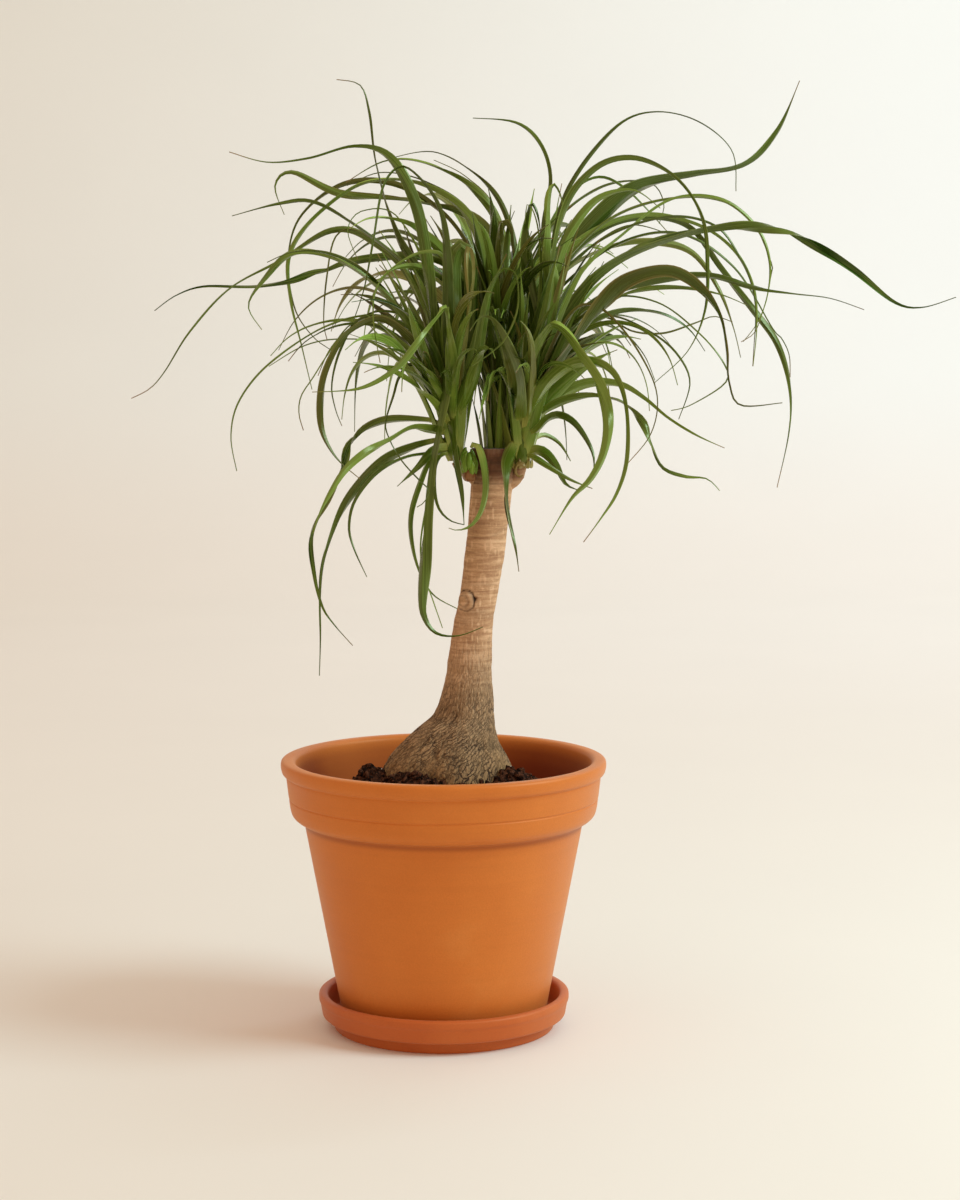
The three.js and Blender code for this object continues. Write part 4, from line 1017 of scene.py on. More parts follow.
@dataclass(frozen=True)
class LeafBlade(Finish):
    """A strap leaf: waxy above, paler beneath, yellow-white at its base and brown at its dry tip."""

    name: str
    deep: str = "#0f2004"
    green: str = "#25440a"
    bright: str = "#90ac48"
    beneath: str = "#4c5a1b"
    # Colour of the painted highlight along the blade's edges.
    edge_highlight: str = "#93a257"
    young: str = "#6f9222"
    base: str = "#b0b45c"
    dry: str = "#84653c"
    wax: str = "#eef2b4"
    vein_mm: float = 1.3

    def inputs(self, add: partial) -> Inputs:
        """Veins, a painted highlight along the edges, a pale base, a paler underside and a dry tip.

        Args:
            add: add_node for the finish's own tree.

        Returns:
            What is the same all over, and what differs from place to place.
        """
        # Leaf of a ponytail palm: a long leathery strap with parallel veins under a thin wax. The
        # wax gives a satin sheen that follows the channel of the leaf. The real veins are about
        # half a millimetre apart, and are drawn further apart so that they show.
        blade = add("UVMap", {"uv_map": "blade"})
        tone_and_run = add("SeparateXYZ", links={0: add("UVMap", {"uv_map": "leafdata"})})
        face_and_dry = add("SeparateXYZ", links={0: add("UVMap", {"uv_map": "leafside"})})
        tone = tone_and_run.outputs["X"]
        from_base = tone_and_run.outputs["Y"]
        dryness = face_and_dry.outputs["Y"]
        under = add("Math", {"operation": "LESS_THAN", 1: 0.0}, {0: face_and_dry.outputs["X"]})
        off_middle = add("Math", {"operation": "ABSOLUTE"}, {0: face_and_dry.outputs["X"]})
        drawn_out = add("Mapping", {"Scale": (1 / self.vein_mm, 1 / 90, 1)}, {"Vector": blade})
        shifted = add("CombineXYZ", links={"Z": tone})
        spread = add("VectorMath", {"operation": "SCALE", "Scale": 37.0}, {0: shifted})
        own = add("VectorMath", {"operation": "ADD"}, {0: drawn_out, 1: spread})
        veins = add("TexNoise", {"Scale": 1.0, "Detail": 3.0, "Roughness": 0.6}, {"Vector": own})
        place = add("TexCoord").outputs["Object"]
        patch = add("TexNoise", {"Scale": per_metre(45), "Detail": 2.0}, {"Vector": place})
        lift = add("Math", {"operation": "MULTIPLY_ADD", 1: 0.7, 2: -0.18}, {0: tone})
        lifted = add("Math", {"operation": "MULTIPLY_ADD", 1: 0.55}, {0: veins, 2: lift})
        mixed = add("Math", {"operation": "MULTIPLY_ADD", 1: 0.35}, {0: patch, 2: lifted})
        upper = add("ValToRGB", {"stops": ((0.26, self.deep), (0.5, self.green), (0.86, self.bright))},
            {"Fac": mixed})
        paler = add("Math", {"operation": "MULTIPLY", 1: 0.6}, {0: under})
        both = add("Mix", {"data_type": "RGBA", 7: linear(self.beneath)}, {0: paler, 6: upper})
        # Painted highlight: the blade's edges are lightened, as where they catch the light.
        rim = add("MapRange", {"From Min": 0.86, "From Max": 1.0, "To Max": 0.5}, {"Value": off_middle})
        edge_highlighted = add("Mix", {"data_type": "RGBA", 7: linear(self.edge_highlight)}, {0: rim, 6: both.outputs[2]})
        fresh = add("MapRange", {"interpolation_type": "SMOOTHSTEP", "From Min": 85.0, "From Max": 15.0,
            "To Max": 0.32}, {"Value": from_base})
        freshened = add("Mix", {"data_type": "RGBA", 7: linear(self.young)},
            {0: fresh, 6: edge_highlighted.outputs[2]})
        near_base = add("MapRange", {"interpolation_type": "SMOOTHSTEP", "From Min": 26.0, "From Max": 4.0,
            "To Max": 0.75}, {"Value": from_base})
        based = add("Mix", {"data_type": "RGBA", 7: linear(self.base)},
            {0: near_base, 6: freshened.outputs[2]})
        dried = add("Mix", {"data_type": "RGBA", 7: linear(self.dry)}, {0: dryness, 6: based.outputs[2]})
        rough = add("MapRange", {**NOISE_SPAN, "To Min": 0.19, "To Max": 0.33}, {"Value": veins})
        bump = add("Bump", {"Strength": 0.3, "Distance": 0.0004}, {"Height": veins})
        return ({"Specular IOR Level": 0.6, "Specular Tint": linear(self.wax)},
                {"Base Color": dried.outputs[2], "Roughness": rough, "Normal": bump})


@dataclass(frozen=True)
class Paper(Finish):
    """The studio's seamless paper."""

    name: str = "studio_paper"
    # The floor's colour is the wall's cream with painted warm light on it.
    floor: str = "#efebe0"
    wall: str = "#eff1e9"

    def inputs(self, add: partial) -> Inputs:
        """A faint mottle, and painted warm light that makes the floor creamier.

        Args:
            add: add_node for the finish's own tree.

        Returns:
            What is the same all over, and what differs from place to place.
        """
        # Backdrop paper: coated on a roller, smooth and matt, with a barely visible mottle. The
        # part that lies on the floor is painted warmer than the part that hangs: painted warm light.
        place = add("TexCoord").outputs["Object"]
        mottle = add("TexNoise", {"Scale": per_metre(400), "Detail": 2.0}, {"Vector": place})
        shade = add("MapRange", {"To Min": 0.985, "To Max": 1.015}, {"Value": mottle})
        height = add("SeparateXYZ", links={0: place}).outputs["Z"]
        # Painted warm light: the paper turns from the floor's warmer cream to the wall's colour as it rises.
        raised = add("MapRange", {"interpolation_type": "SMOOTHSTEP", "From Min": 0.0, "From Max": 0.55},
            {"Value": height})
        paper_tone_with_painted_warmth = add("Mix", {"data_type": "RGBA", 6: linear(self.floor), 7: linear(self.wall)}, {0: raised})
        colour = add("VectorMath", {"operation": "SCALE"}, {0: paper_tone_with_painted_warmth.outputs[2], "Scale": shade})
        return {"Roughness": 0.7, "Specular IOR Level": 0.25}, {"Base Color": colour}


# Pottery


@dataclass
class Pottery:
    """The pot and the saucer that it stands in."""

    sides: int = 192
    clay: Terracotta = Terracotta("terracotta_pot", "#cf742e", "#ca6e29", "#d5803b")
    saucer_clay: Terracotta = Terracotta("terracotta_saucer", "#bf5f2b", "#b95726", "#c66b38")

    def wall_radius(self, height: float) -> float:
        """Outer radius of the pot's straight wall at a height."""
        low = SAUCER_FLOOR + SEAT
        return mix(POT_FOOT_RADIUS, 128.7, (height - low) / (POT_BAND_BOTTOM - low))

    def inner_radius(self, height: float) -> float:
        """Inner radius of the pot's straight wall at a height."""
        return self.wall_radius(height) - POT_WALL

    def saucer(self) -> None:
        """The saucer, with its recessed foot and rounded rim."""
        inner = SAUCER_RADIUS - 9
        corners = [
            (0, 0, 0), (SAUCER_FOOT_RADIUS, 0, 1.6), (SAUCER_FOOT_RADIUS + 1, 10.6, 1.4),
            (SAUCER_RADIUS - 3.4, 11.6, 2.2), (SAUCER_RADIUS - 1.2, 24, 1), (SAUCER_RADIUS, 26.4, 1.4),
            (SAUCER_RADIUS, SAUCER_HEIGHT, 4.4), (inner + 0.6, SAUCER_HEIGHT, 4.4),
            (inner - 2.6, 14, 5), (inner - 7, SAUCER_FLOOR, 5), (0, SAUCER_FLOOR, 0),
        ]
        shell = turned(rounded(corners, False), self.sides, False)
        shell.layers["damp"] = np.zeros((len(shell.points), 2))
        piece = make_piece("saucer_turned", shell, [self.saucer_clay.material()])
        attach(piece, "root")
        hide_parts("saucer")

    def pot(self) -> None:
        """The pot, with its band, the line cut into it, its rolled lip and its drain."""
        base = SAUCER_FLOOR + SEAT
        lip = POT_LIP_RADIUS
        corners = [
            (DRAIN_RADIUS, base, 1), (POT_FOOT_RADIUS, base, 2.4),
            (self.wall_radius(190), 190, 3), (129.4, 193.8, 2.2), (134.6, 195.6, 2.4), (139.6, 199.8, 4.5),
            (141.4, 206.4, 4.5),
            (142.3, 214.2, 0.6), (141.7, 214.9, 0.3), (141.9, 215.9, 0.3), (142.7, 216.5, 0.6),
            (144.8, 234.4, 1.2), (144.6, 236.4, 0.8), (148.4, 238.6, 2), (lip, 244.6, 4),
            (lip - 0.8, POT_TOP - 0.2, 4.6), (lip - 12.6, POT_TOP, 5), (lip - 16, 240.5, 5),
            (lip - 17.8, 233, 5), (lip - 21, 221, 6), (self.inner_radius(205) + 2.8, 208, 6),
            (self.inner_radius(190), 190, 8),
            (self.inner_radius(POT_FLOOR + 2), POT_FLOOR, 6), (DRAIN_RADIUS, POT_FLOOR, 1.6),
        ]
        shell = turned(rounded(corners, True), self.sides, True)
        height = shell.points[:, 2]
        reach = np.hypot(shell.points[:, 0], shell.points[:, 1])
        inside = reach < self.wall_radius(height) - 0.3 * POT_WALL
        # The inside is darkened as damp clay, and this darkening is also painted shade: it grows downwards
        # from the lip and is strongest on the right side and at the far left.
        side = shell.points[:, 0] / reach
        side_shade = 0.6 + 0.4 * smoothstep(side, 0.1, 0.7) + 0.4 * smoothstep(side, -0.82, -0.97)
        damp = inside * side_shade * (0.7 * smoothstep(height, 250, 237) + 0.25 * smoothstep(height, 242, 222))
        # Painted shade in the crease under the band, on the outside.
        damp = np.maximum(damp, (1 - inside) * 0.5 * np.exp(-((height - 191.5) / 3.0) ** 2))
        raw = inside * smoothstep(height, 252, 243)
        shell.layers["damp"] = pairs(damp, raw)
        piece = make_piece("pot_turned", shell, [self.clay.material()])
        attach(piece, "root")
        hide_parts("pot")


# Soil


@dataclass
class SoilBed:
    """The soil, the crumbs that lie on it and the perlite in it."""

    sides: int = 220
    rows: int = 84
    lumps: int = 1300
    crumbs: int = 3600
    specks: int = 110
    peat: Crumbs = Crumbs("potting_soil", "#1a0c05", "#412313", "#704630", 2.4, 0.95)
    glass: Crumbs = Crumbs("perlite", "#a9a49a", "#e0dcd2", "#f4f1ea", 2.0, 0.9)
    noise: Noise = Noise(31)

    def height(self, x: Array, y: Array) -> Array:
        """The soil's height at places, with its mounds and lumps.

        Args:
            x: places on X.
            y: places on Y.

        Returns:
            A height for each place.
        """
        radius = np.hypot(x, y)
        level = mix(SOIL_AT_TRUNK, SOIL_AT_WALL, smoothstep(radius, 46, 122))
        spots = np.stack([x, y, np.zeros_like(x)], axis=-1)
        edge = 1 - 0.75 * smoothstep(radius, 100, 122)
        level = level + edge * (3.2 * self.noise.soft(spots / 21) + 2.2 * self.noise.rough(spots / 7.5))
        for mound_x, mound_y, rise, width in ((-70, -14, 15, 15), (-84, -24, 8, 9), (-30, -60, 13, 22),
                                              (66, -30, 17, 17), (84, -16, 10, 10), (44, -62, 6, 12),
                                              (20, 70, 8, 26), (-96, 40, 6, 14), (90, 44, 5, 18)):
            level = level + rise * np.exp(-((x - mound_x) ** 2 + (y - mound_y) ** 2) / width ** 2)
        return level

    def bed(self) -> Shell:
        """The body of the soil.

        Returns:
            Its skin.
        """
        pot = Pottery()
        reach = pot.inner_radius(SOIL_AT_WALL) + 1.6
        sunk = [(pot.inner_radius(POT_FLOOR) - 5, POT_FLOOR + SEAT), (pot.inner_radius(60) - 1, 60),
                (pot.inner_radius(150) - 1, 150), (reach - 1.2, SOIL_AT_WALL - 5)]
        angle = ring_angles(self.sides)
        rings = []
        for radius, height in sunk:
            rings.append(np.stack([radius * np.cos(angle), radius * np.sin(angle),
                                   np.full(self.sides, float(height))], axis=-1))
        for radius in np.linspace(reach, 2, self.rows):
            x = radius * np.cos(angle)
            y = radius * np.sin(angle)
            rings.append(np.stack([x, y, self.height(x, y)], axis=-1))
        middles = [(0, 0, POT_FLOOR + SEAT), (0, 0, SOIL_AT_TRUNK)]
        return capped(np.concatenate(rings), self.sides, middles)

    def scattered(self, count: int, sizes: Span, seed: int, sunk: float, fineness: int) -> Shell:
        """Small uneven lumps strewn over the soil.

        Args:
            count: how many lumps there are.
            sizes: the smallest and the largest radius of a lump.
            seed: sets the strewing.
            sunk: the share of a lump's radius that lies under the surface.
            fineness: how often the faces of each lump are cut.

        Returns:
            The lumps as one skin.
        """
        ball = bmesh.new()
        bmesh.ops.create_icosphere(ball, subdivisions=fineness, radius=1)
        ball.verts.ensure_lookup_table()
        form = np.array([vertex.co for vertex in ball.verts], float)
        faces = np.array([[vertex.index for vertex in face.verts] for face in ball.faces])
        ball.free()
        random = np.random.default_rng(seed)
        angle = random.uniform(0, 2 * math.pi, count)
        radius = np.sqrt(random.uniform(34 ** 2, 119 ** 2, count))
        size = sizes[0] + (sizes[1] - sizes[0]) * random.random(count) ** 2.6
        x = radius * np.cos(angle)
        y = radius * np.sin(angle)
        z = self.height(x, y) + size * (1 - 2 * sunk) * 0.5
        stretch = random.uniform(0.5, 1.35, (count, 1, 3))
        own_spots = form[None] * 1.7 + random.uniform(0, 90, (count, 1, 3))
        lumps = form[None] * stretch * (1 + 0.42 * self.noise.rough(own_spots, 2))[..., None]
        places = np.stack([x, y, z], axis=-1)[:, None] + lumps * size[:, None, None]
        starts = (np.arange(count) * len(form))[:, None, None]
        triangles = (faces[None] + starts).reshape(-1, 3)
        return Shell(places.reshape(-1, 3), np.empty((0, 4), int), triangles)

    def build(self) -> None:
        """Makes the soil's pieces."""
        peat = self.peat.material()
        bed = make_piece("soil_bed", self.bed(), [peat])
        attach(bed, "root")
        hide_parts("soil")
        loose = joined([self.scattered(self.lumps, (1.2, 4.4), 5, 0.3, 2),
                        self.scattered(self.crumbs, (0.6, 1.5), 6, 0.1, 1)])
        crumbs = make_piece("soil_crumbs", loose, [peat])
        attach(crumbs, "root")
        perlite = make_piece("perlite", self.scattered(self.specks, (0.6, 1.7), 8, 0.0, 2),
                             [self.glass.material()])
        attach(perlite, "root")


# Trunk


@dataclass
class Trunk:
    """The swollen foot, the ringed stem with its knot, the sawn top, the roots and the stubs."""

    around: int = 330
    ring_step: float = 1.4
    flow_radius: float = 26
    fanning: float = 0.55
    stub_share: float = 0.66
    stub_lift: tuple[float, ...] = (12, 5, 1, 0)
    bark: CorkBark = CorkBark()
    sawn: SawnWood = SawnWood()
    noise: Noise = Noise(77)

    def outline(self, heights: Array) -> tuple[Array, Array]:
        """The trunk's middle and half width at heights, softened between the measured ones.

        Args:
            heights: places on Z.

        Returns:
            The middle and the half width at each height.
        """
        fine = np.arange(160, 560, 0.5)
        kernel = np.exp(-0.5 * (np.arange(-16, 17) / 6) ** 2)
        kernel /= kernel.sum()
        edges = []
        for column in (1, 2):
            raw = np.interp(fine, TRUNK_OUTLINE[:, 0], TRUNK_OUTLINE[:, column])
            padded = np.concatenate([np.full(16, raw[0]), raw, np.full(16, raw[-1])])
            edges.append(np.interp(heights, fine, np.convolve(padded, kernel, "valid")))
        return (edges[0] + edges[1]) / 2, (edges[1] - edges[0]) / 2

    def knot(self, points: Array) -> tuple[Array, Array]:
        """The old branch scar on the trunk's left: its boss, the ring round it and its hollows.

        Args:
            points: places on the plain trunk.

        Returns:
            The rise in millimetres, and how dark the place is.
        """
        away = np.linalg.norm(points - KNOT, axis=-1)
        waver = 1.1 * self.noise.soft(points / 4.5)
        upper = smoothstep(points[..., 2], KNOT[2] - 9, KNOT[2] + 2)
        groove = np.exp(-((away - 9.6 + waver) / 0.8) ** 2) * mix(0.55, 0.9, upper)
        inner = np.exp(-((away - 5.6 + waver) / 0.8) ** 2)
        hollow = np.exp(-(np.linalg.norm(points - (29, -17, 399.5), axis=-1) / 1.8) ** 2)
        nick = np.exp(-(np.linalg.norm((points - (14.0, -9, 400)) / (1, 1, 1.5), axis=-1) / 2.6) ** 2)
        rise = (KNOT_HEIGHT + 0.6) * np.exp(-(away / 10) ** 4)
        rise = rise - 1.7 * groove - 0.5 * inner - 3.4 * hollow - 1.6 * nick
        return rise, groove + 0.38 * inner + 0.95 * hollow + 0.6 * nick

    def relief(self, points: Array, flow: Array) -> tuple[Array, Array, Array]:
        """How the bark's surface differs from the plain trunk.

        Args:
            points: places on the plain trunk.
            flow: the same places laid out along the bark's growth, so that furrows fan out below.

        Returns:
            The rise in millimetres, how dark a split or hollow is, and how pale the bark is.
        """
        soft = self.noise.soft
        height = points[..., 2]
        foot = smoothstep(height, 345, 266)
        waver = soft(points / (15, 15, 22))
        border, owner = self.noise.cells(flow / (3.7, 3.7, 13) + 0.5 * waver[..., None])
        furrow = np.exp(-(border / 0.07) ** 2)
        deep = smoothstep(soft(flow / (6, 6, 26) + 3.3), -0.3, 0.45)
        plates = smoothstep(height, 262, 232) * smoothstep(points[..., 0], -10, 25)
        rise = foot * (0.9 * (owner - 0.5) - (0.35 + 1.1 * deep) * furrow)
        dark = foot * (0.12 + 0.4 * deep ** 2) * furrow
        pale = mix(0.5 + 0.3 * waver, 0.3 + 0.5 * owner + 0.25 * plates, foot)

        dashes = smoothstep(soft(flow / (1.1, 1.1, 4.4) + 5.5), 0.12, 0.5)
        dashes = dashes * smoothstep(height, 400, 325) * (1 - 0.4 * foot)
        rings = np.exp(-(soft(points / (42, 42, 6.2) + 2.2) / 0.09) ** 2)
        rings = rings * (1 - foot) * smoothstep(soft(points / 26 + 7.7), -0.7, 0.2)
        rise = rise - 0.35 * dashes - 0.3 * rings
        rise = rise + (1 - foot) * (0.25 * soft(points / (40, 40, 5)) + 0.55 * soft(points / 19))
        dark = dark + 0.3 * dashes + 0.2 * rings
        flecks = smoothstep(soft(points / (2.4, 2.4, 6.5) + 1.1), 0.42, 0.66) * (1 - foot)
        pale = pale + 0.7 * flecks

        collar = smoothstep(height, 503, 508)
        rise = rise + collar * (0.4 + 0.5 * self.noise.rough(points / (3.4, 3.4, 7)))
        rise = rise + 0.5 * np.exp(-((height - 506.5 - 1.2 * waver) / 1.1) ** 2)
        dark = dark + 0.45 * np.exp(-((height - 504.4 - 1.2 * waver) / 0.8) ** 2)
        dark = dark + 0.4 * collar * smoothstep(soft(points / (16, 16, 2.0)), 0.0, 0.5)

        knot_rise, knot_dark = self.knot(points)
        return rise + knot_rise, np.clip(dark + knot_dark, 0, 1), np.clip(pale, 0, 1)

    def stem(self) -> Shell:
        """The trunk from under the soil to the saw cut.

        Returns:
            Its skin, with the layers that the bark reads.
        """
        low = TRUNK_OUTLINE[0, 0]
        heights = np.concatenate([np.arange(low, 226, 6), np.arange(226, TRUNK_TOP - 0.6, self.ring_step),
                                  [TRUNK_TOP - 0.6, TRUNK_TOP - 0.1]])
        middle, radius = self.outline(heights)
        radius = radius - np.where(heights > TRUNK_TOP - 0.5, 0.7, 0)
        turn = ring_angles(self.around)
        angle = turn + math.pi / 2
        across = np.sin(angle) ** 2
        ribbing = smoothstep(320 - heights, 0, 60)[:, None]
        rib = 1 + 0.07 * ribbing * across * np.cos(5 * angle + 0.6)
        reach = radius[:, None] * rib * mix(1, 0.94, across)
        out = np.stack([np.cos(angle), np.sin(angle), np.zeros(self.around)], axis=-1)
        plain = out * reach[..., None]
        plain[..., 0] += middle[:, None]
        plain[..., 2] = heights[:, None]
        profile = run_along(np.stack([radius, np.zeros_like(radius), heights], axis=-1))
        girth = self.flow_radius * (radius / self.flow_radius) ** self.fanning
        flow = out * girth[:, None, None]
        flow[..., 2] = profile[:, None]
        rise, dark, pale = self.relief(plain, flow)
        points = plain + out * rise[..., None]
        rings = [points]
        centre = np.array([middle[-1], 0, TRUNK_TOP])
        shares = np.array([0.93, 0.8, 0.66, 0.52, 0.38, 0.24, 0.1])
        for share in shares:
            ring = centre + (points[-1] - centre) * share
            ring[:, 2] = TRUNK_TOP - 0.15 + 0.35 * self.noise.rough(ring / 3.2, 2)
            rings.append(ring[None])
        shell = capped(np.concatenate(rings).reshape(-1, 3), self.around, [(middle[0], 0, low), centre])
        shell.quad_finish = (np.arange(len(shell.quads)) >= (len(heights) - 1) * self.around).astype(int)
        shell.triangle_finish = 1
        red = smoothstep(plain[..., 2] + 3 * self.noise.soft(plain / (9, 9, 12)), 498, 516) * 0.8
        rest = np.zeros((len(shares) * self.around + 2, 2))
        read = {"bark": (dark, pale), "barkflow": (turn * girth[:, None], profile[:, None]),
                "barktint": (red, red)}
        for name, both in read.items():
            shell.layers[name] = np.concatenate([pairs(*both).reshape(-1, 2), rest])
        return shell

    def root(self, number: int) -> Shell:
        """A thick root that leaves the foot's underside and dives through the soil.

        Args:
            number: which root it is, from 0.

        Returns:
            Its skin.
        """
        angle = number / 4 * 2 * math.pi + 0.5
        places = []
        for step, (reach, height, radius) in enumerate(((18, 205, 11), (50, 172, 8), (66, 120, 5),
                                                        (71, 62, 2.4))):
            bend = angle + 0.16 * step * (1 if number % 2 == 0 else -1)
            places.append((3 + reach * math.cos(bend), reach * math.sin(bend), height, radius))
        return tube(places, 14, 24)

    def stub(self, name: HeadName) -> Shell:
        """The short branch that carries a head, red brown where its leaves have fallen.

        Args:
            name: the head that it carries.

        Returns:
            Its skin, with the layers that the bark reads.
        """
        places = [(*stop[:2], stop[2] + lift, stop[3] * self.stub_share)
                  for stop, lift in zip(HEADS[name].stub, self.stub_lift)]
        shell = tube(places, 40, 36, lambda points: (
            0.35 * self.noise.soft(points / (20, 20, 2.4)) + 0.5 * self.noise.soft(points / 7)))
        red = smoothstep(shell.points[:, 2], 500, 512) * 0.35
        # Painted shade: the back stub, which stands in the crown's shadow, is painted dark.
        dark = np.full(len(red), 0.72 if name is BACK else 0.08)
        shell.layers = {"bark": pairs(dark, 0.6), "barktint": pairs(red, red)}
        return shell

    def build(self) -> None:
        """Makes the trunk's piece."""
        shells = [self.stem()]
        shells += [self.root(number) for number in range(4)]
        shells += [self.stub(name) for name in HEADS]
        piece = make_piece("trunk_bark", joined(shells), [self.bark.material(), self.sawn.material()])
        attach(piece, "root")
        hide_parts("trunk")


# Setting out the leaves


@dataclass
class Leaf:
    """A leaf that has its place: the points that its line runs through, its width and its faces."""

    head: HeadName
    full: float
    level: Array
    path: Array
    roll: float = 0.0
    turn: float = 0.0
    taper: float = 0.0


def stations(line: Array) -> tuple[Array, Array]:
    """A line as a few stations, closer together where it bends.

    Args:
        line: a fine line through a leaf's points.

    Returns:
        The stations, and their distances along the line.
    """
    run = run_along(line)
    steps = np.diff(line, axis=0)
    lengths = np.linalg.norm(steps, axis=1)
    cosine = (steps[:-1] * steps[1:]).sum(1) / (lengths[:-1] * lengths[1:])
    bend = np.concatenate([np.arccos(np.clip(cosine, -1, 1)), [0]])
    effort = np.concatenate([[0], np.cumsum(np.diff(run) + BEND_WORTH * bend)])
    total = effort[-1]
    count = min(max(math.floor(total / STATION_STEP + 0.5), 4), 10)
    points, reached = [], []
    index = 0
    for step in range(count + 1):
        wanted = total * step / count
        while index < len(effort) - 2 and effort[index + 1] < wanted:
            index += 1
        share = min(max((wanted - effort[index]) / (effort[index + 1] - effort[index]), 0), 1)
        points.append(mix(line[index], line[index + 1], share))
        reached.append(mix(run[index], run[index + 1], share))
    return np.array(points), np.array(reached)


def leaf_width(full: float, along: Any, taper: float = LEAF_TAPER) -> Any:
    """A leaf's width at a share of its length: broad in its lower third, then a long fine taper."""
    base = 0.5 + 0.5 * np.minimum(1, along / 0.14)
    return np.maximum(LEAF_TIP_WIDTH, full * base * (1 - 0.92 * along ** taper))


def to_drawing(points: Array) -> Array:
    """The points of the plane y = 0 that are seen from EYE where points in space are.

    Args:
        points: places in space.

    Returns:
        Their X and Z in the plane.
    """
    scale = -EYE[1] / (points[..., 1] - EYE[1])
    return (EYE + (points - EYE) * scale[..., None])[..., [0, 2]]


def from_drawing(place: Sequence[float], depth: float) -> Array:
    """The point at a depth that is seen from EYE where a point of the plane y = 0 is."""
    scale = (depth - EYE[1]) / -EYE[1]
    return np.array([EYE[0] + (place[0] - EYE[0]) * scale, depth, EYE[2] + (place[1] - EYE[2]) * scale])


def root_place(head: Head, towards: Array, number: int) -> Array:
    """Where a leaf leaves the core of its head.

    Args:
        head: the leaf's head.
        towards: the point that the leaf sets out for.
        number: turns its base round the core, so that no two coincide.

    Returns:
        The leaf's first point.
    """
    aside = towards - mix(head.foot, head.tip, 0.5)
    length = math.sqrt(float(aside @ aside))
    steepness = aside[2] / length
    flat = np.array([aside[0], aside[1], 0.0])
    flat_length = math.sqrt(float(flat @ flat))
    reach = min(flat_length, CORE_RADIUS * 0.6 * (1.2 - abs(steepness)))
    place = mix(head.foot, head.tip, mix(0.5, 0.9, steepness))
    place[0] += SPIRAL_RADIUS * math.cos(SPIRAL_STEP * number)
    place[1] += SPIRAL_RADIUS * math.sin(SPIRAL_STEP * number)
    return place + flat / (flat_length or 1) * reach


def drawn_leaf(drawn: Drawn, head: Head, depth: float, number: int) -> Leaf:
    """A drawn leaf in space, for a depth of its tip.

    Args:
        drawn: the drawing.
        head: the head that it grows from.
        depth: the tip's place on Y.
        number: turns its base round the core.

    Returns:
        The leaf, with its line from the core outwards.
    """
    base = root_place(head, from_drawing(drawn.points[0], head.top[1]), number)
    flat = np.concatenate([[to_drawing(base)], drawn.points])
    run = run_along(flat)
    left = 1 - run / run[-1]
    depths = mix(base[1], depth, 1 - left * left)
    path = np.array([from_drawing(place, at) for place, at in zip(flat, depths)])
    side = 1 if drawn.path[-2] > head.foot[0] else -1
    return Leaf(drawn.head, drawn.wide / math.sin(LEAF_ROLL), np.array([0.0, side, 0.0]), path,
                side * LEAF_ROLL, drawn.turn, drawn.taper)


def grown_line(rule: Grown, head: Head, draws: Draws, number: int) -> tuple[Array, Array]:
    """The points of a grown leaf and the level direction of its width.

    Args:
        rule: the ranges that it keeps to.
        head: the head that it grows from.
        draws: the source of its numbers.
        number: turns its base round the core.

    Returns:
        The points, and the direction.
    """
    azimuth = math.radians(draws.between(*rule.azimuth))
    pitch = math.radians(draws.between(*rule.pitch))
    droop = math.radians(draws.between(*rule.droop))
    length = draws.between(*rule.length)
    drift = math.radians(draws.between(-35, 35))
    towards = head.tip + (60 * math.cos(azimuth), 60 * math.sin(azimuth), 120 * math.sin(pitch) - 60)
    place = root_place(head, towards, number)
    points = [place.copy()]
    stride = length / GROWN_STEPS
    for step in range(GROWN_STEPS):
        share = (step + 0.5) / GROWN_STEPS
        lean = pitch - droop * share ** DROOP_POWER
        heading = azimuth + drift * share
        place = place + stride * np.array([math.cos(lean) * math.cos(heading),
                                           math.cos(lean) * math.sin(heading), math.sin(lean)])
        points.append(place)
    return np.array(points), bearing(azimuth)[1]


@dataclass
class Probes:
    """Points along a leaf with the half width there, once it has left its own core."""

    places: Array
    halves: Array

    @classmethod
    def of(cls, leaf: Leaf) -> "Probes":
        """The probes of a leaf.

        Args:
            leaf: the leaf.

        Returns:
            Its probes.
        """
        places, halves = [np.empty((0, 3))], [np.empty(0)]
        points, run = stations(spline(leaf.path, LINE_CUTS))
        along = run / run[-1]
        for index in range(1, len(run)):
            pieces = max(1, math.ceil((run[index] - run[index - 1]) / PROBE_STEP))
            share = np.arange(1, pieces + 1) / pieces
            share = share[mix(run[index - 1], run[index], share) >= ROOT_REACH]
            places.append(mix(points[index - 1], points[index], share[:, None]))
            halves.append(leaf_width(leaf.full, mix(along[index - 1], along[index], share)) / 2)
        return cls(np.concatenate(places), np.concatenate(halves))

    def clear_of_trunk(self) -> bool:
        """Whether the leaf keeps clear of the trunk.

        Returns:
            True where it does.
        """
        low = self.places[:, 2] <= TRUNK_TOP + self.halves + LEAF_CLEARANCE
        places, halves = self.places[low], self.halves[low]
        left, right = (np.interp(places[:, 2], TRUNK_OUTLINE[:, 0], edge) for edge in TRUNK_OUTLINE.T[1:])
        away = np.linalg.norm(places - KNOT, axis=1)
        knot = np.where(away < 3 * KNOT_SPREAD, KNOT_HEIGHT, 0)
        reach = (right - left) / 2 + knot + halves + LEAF_CLEARANCE
        return bool((np.hypot(places[:, 0] - (left + right) / 2, places[:, 1]) > reach).all())

    def inside_crown(self, crown: float) -> bool:
        """Whether the leaf stays inside the crown, at that size, as it is seen from EYE.

        Args:
            crown: the size, as a share of the full crown.

        Returns:
            True where it does.
        """
        offset = (to_drawing(self.places) - CROWN_MIDDLE) / CROWN_HALF
        nearest = CAD_BOX[0][1] / MM + 6
        return bool(((offset ** 2).sum(1) < crown ** 2).all() and self.places[:, 1].min() > nearest)


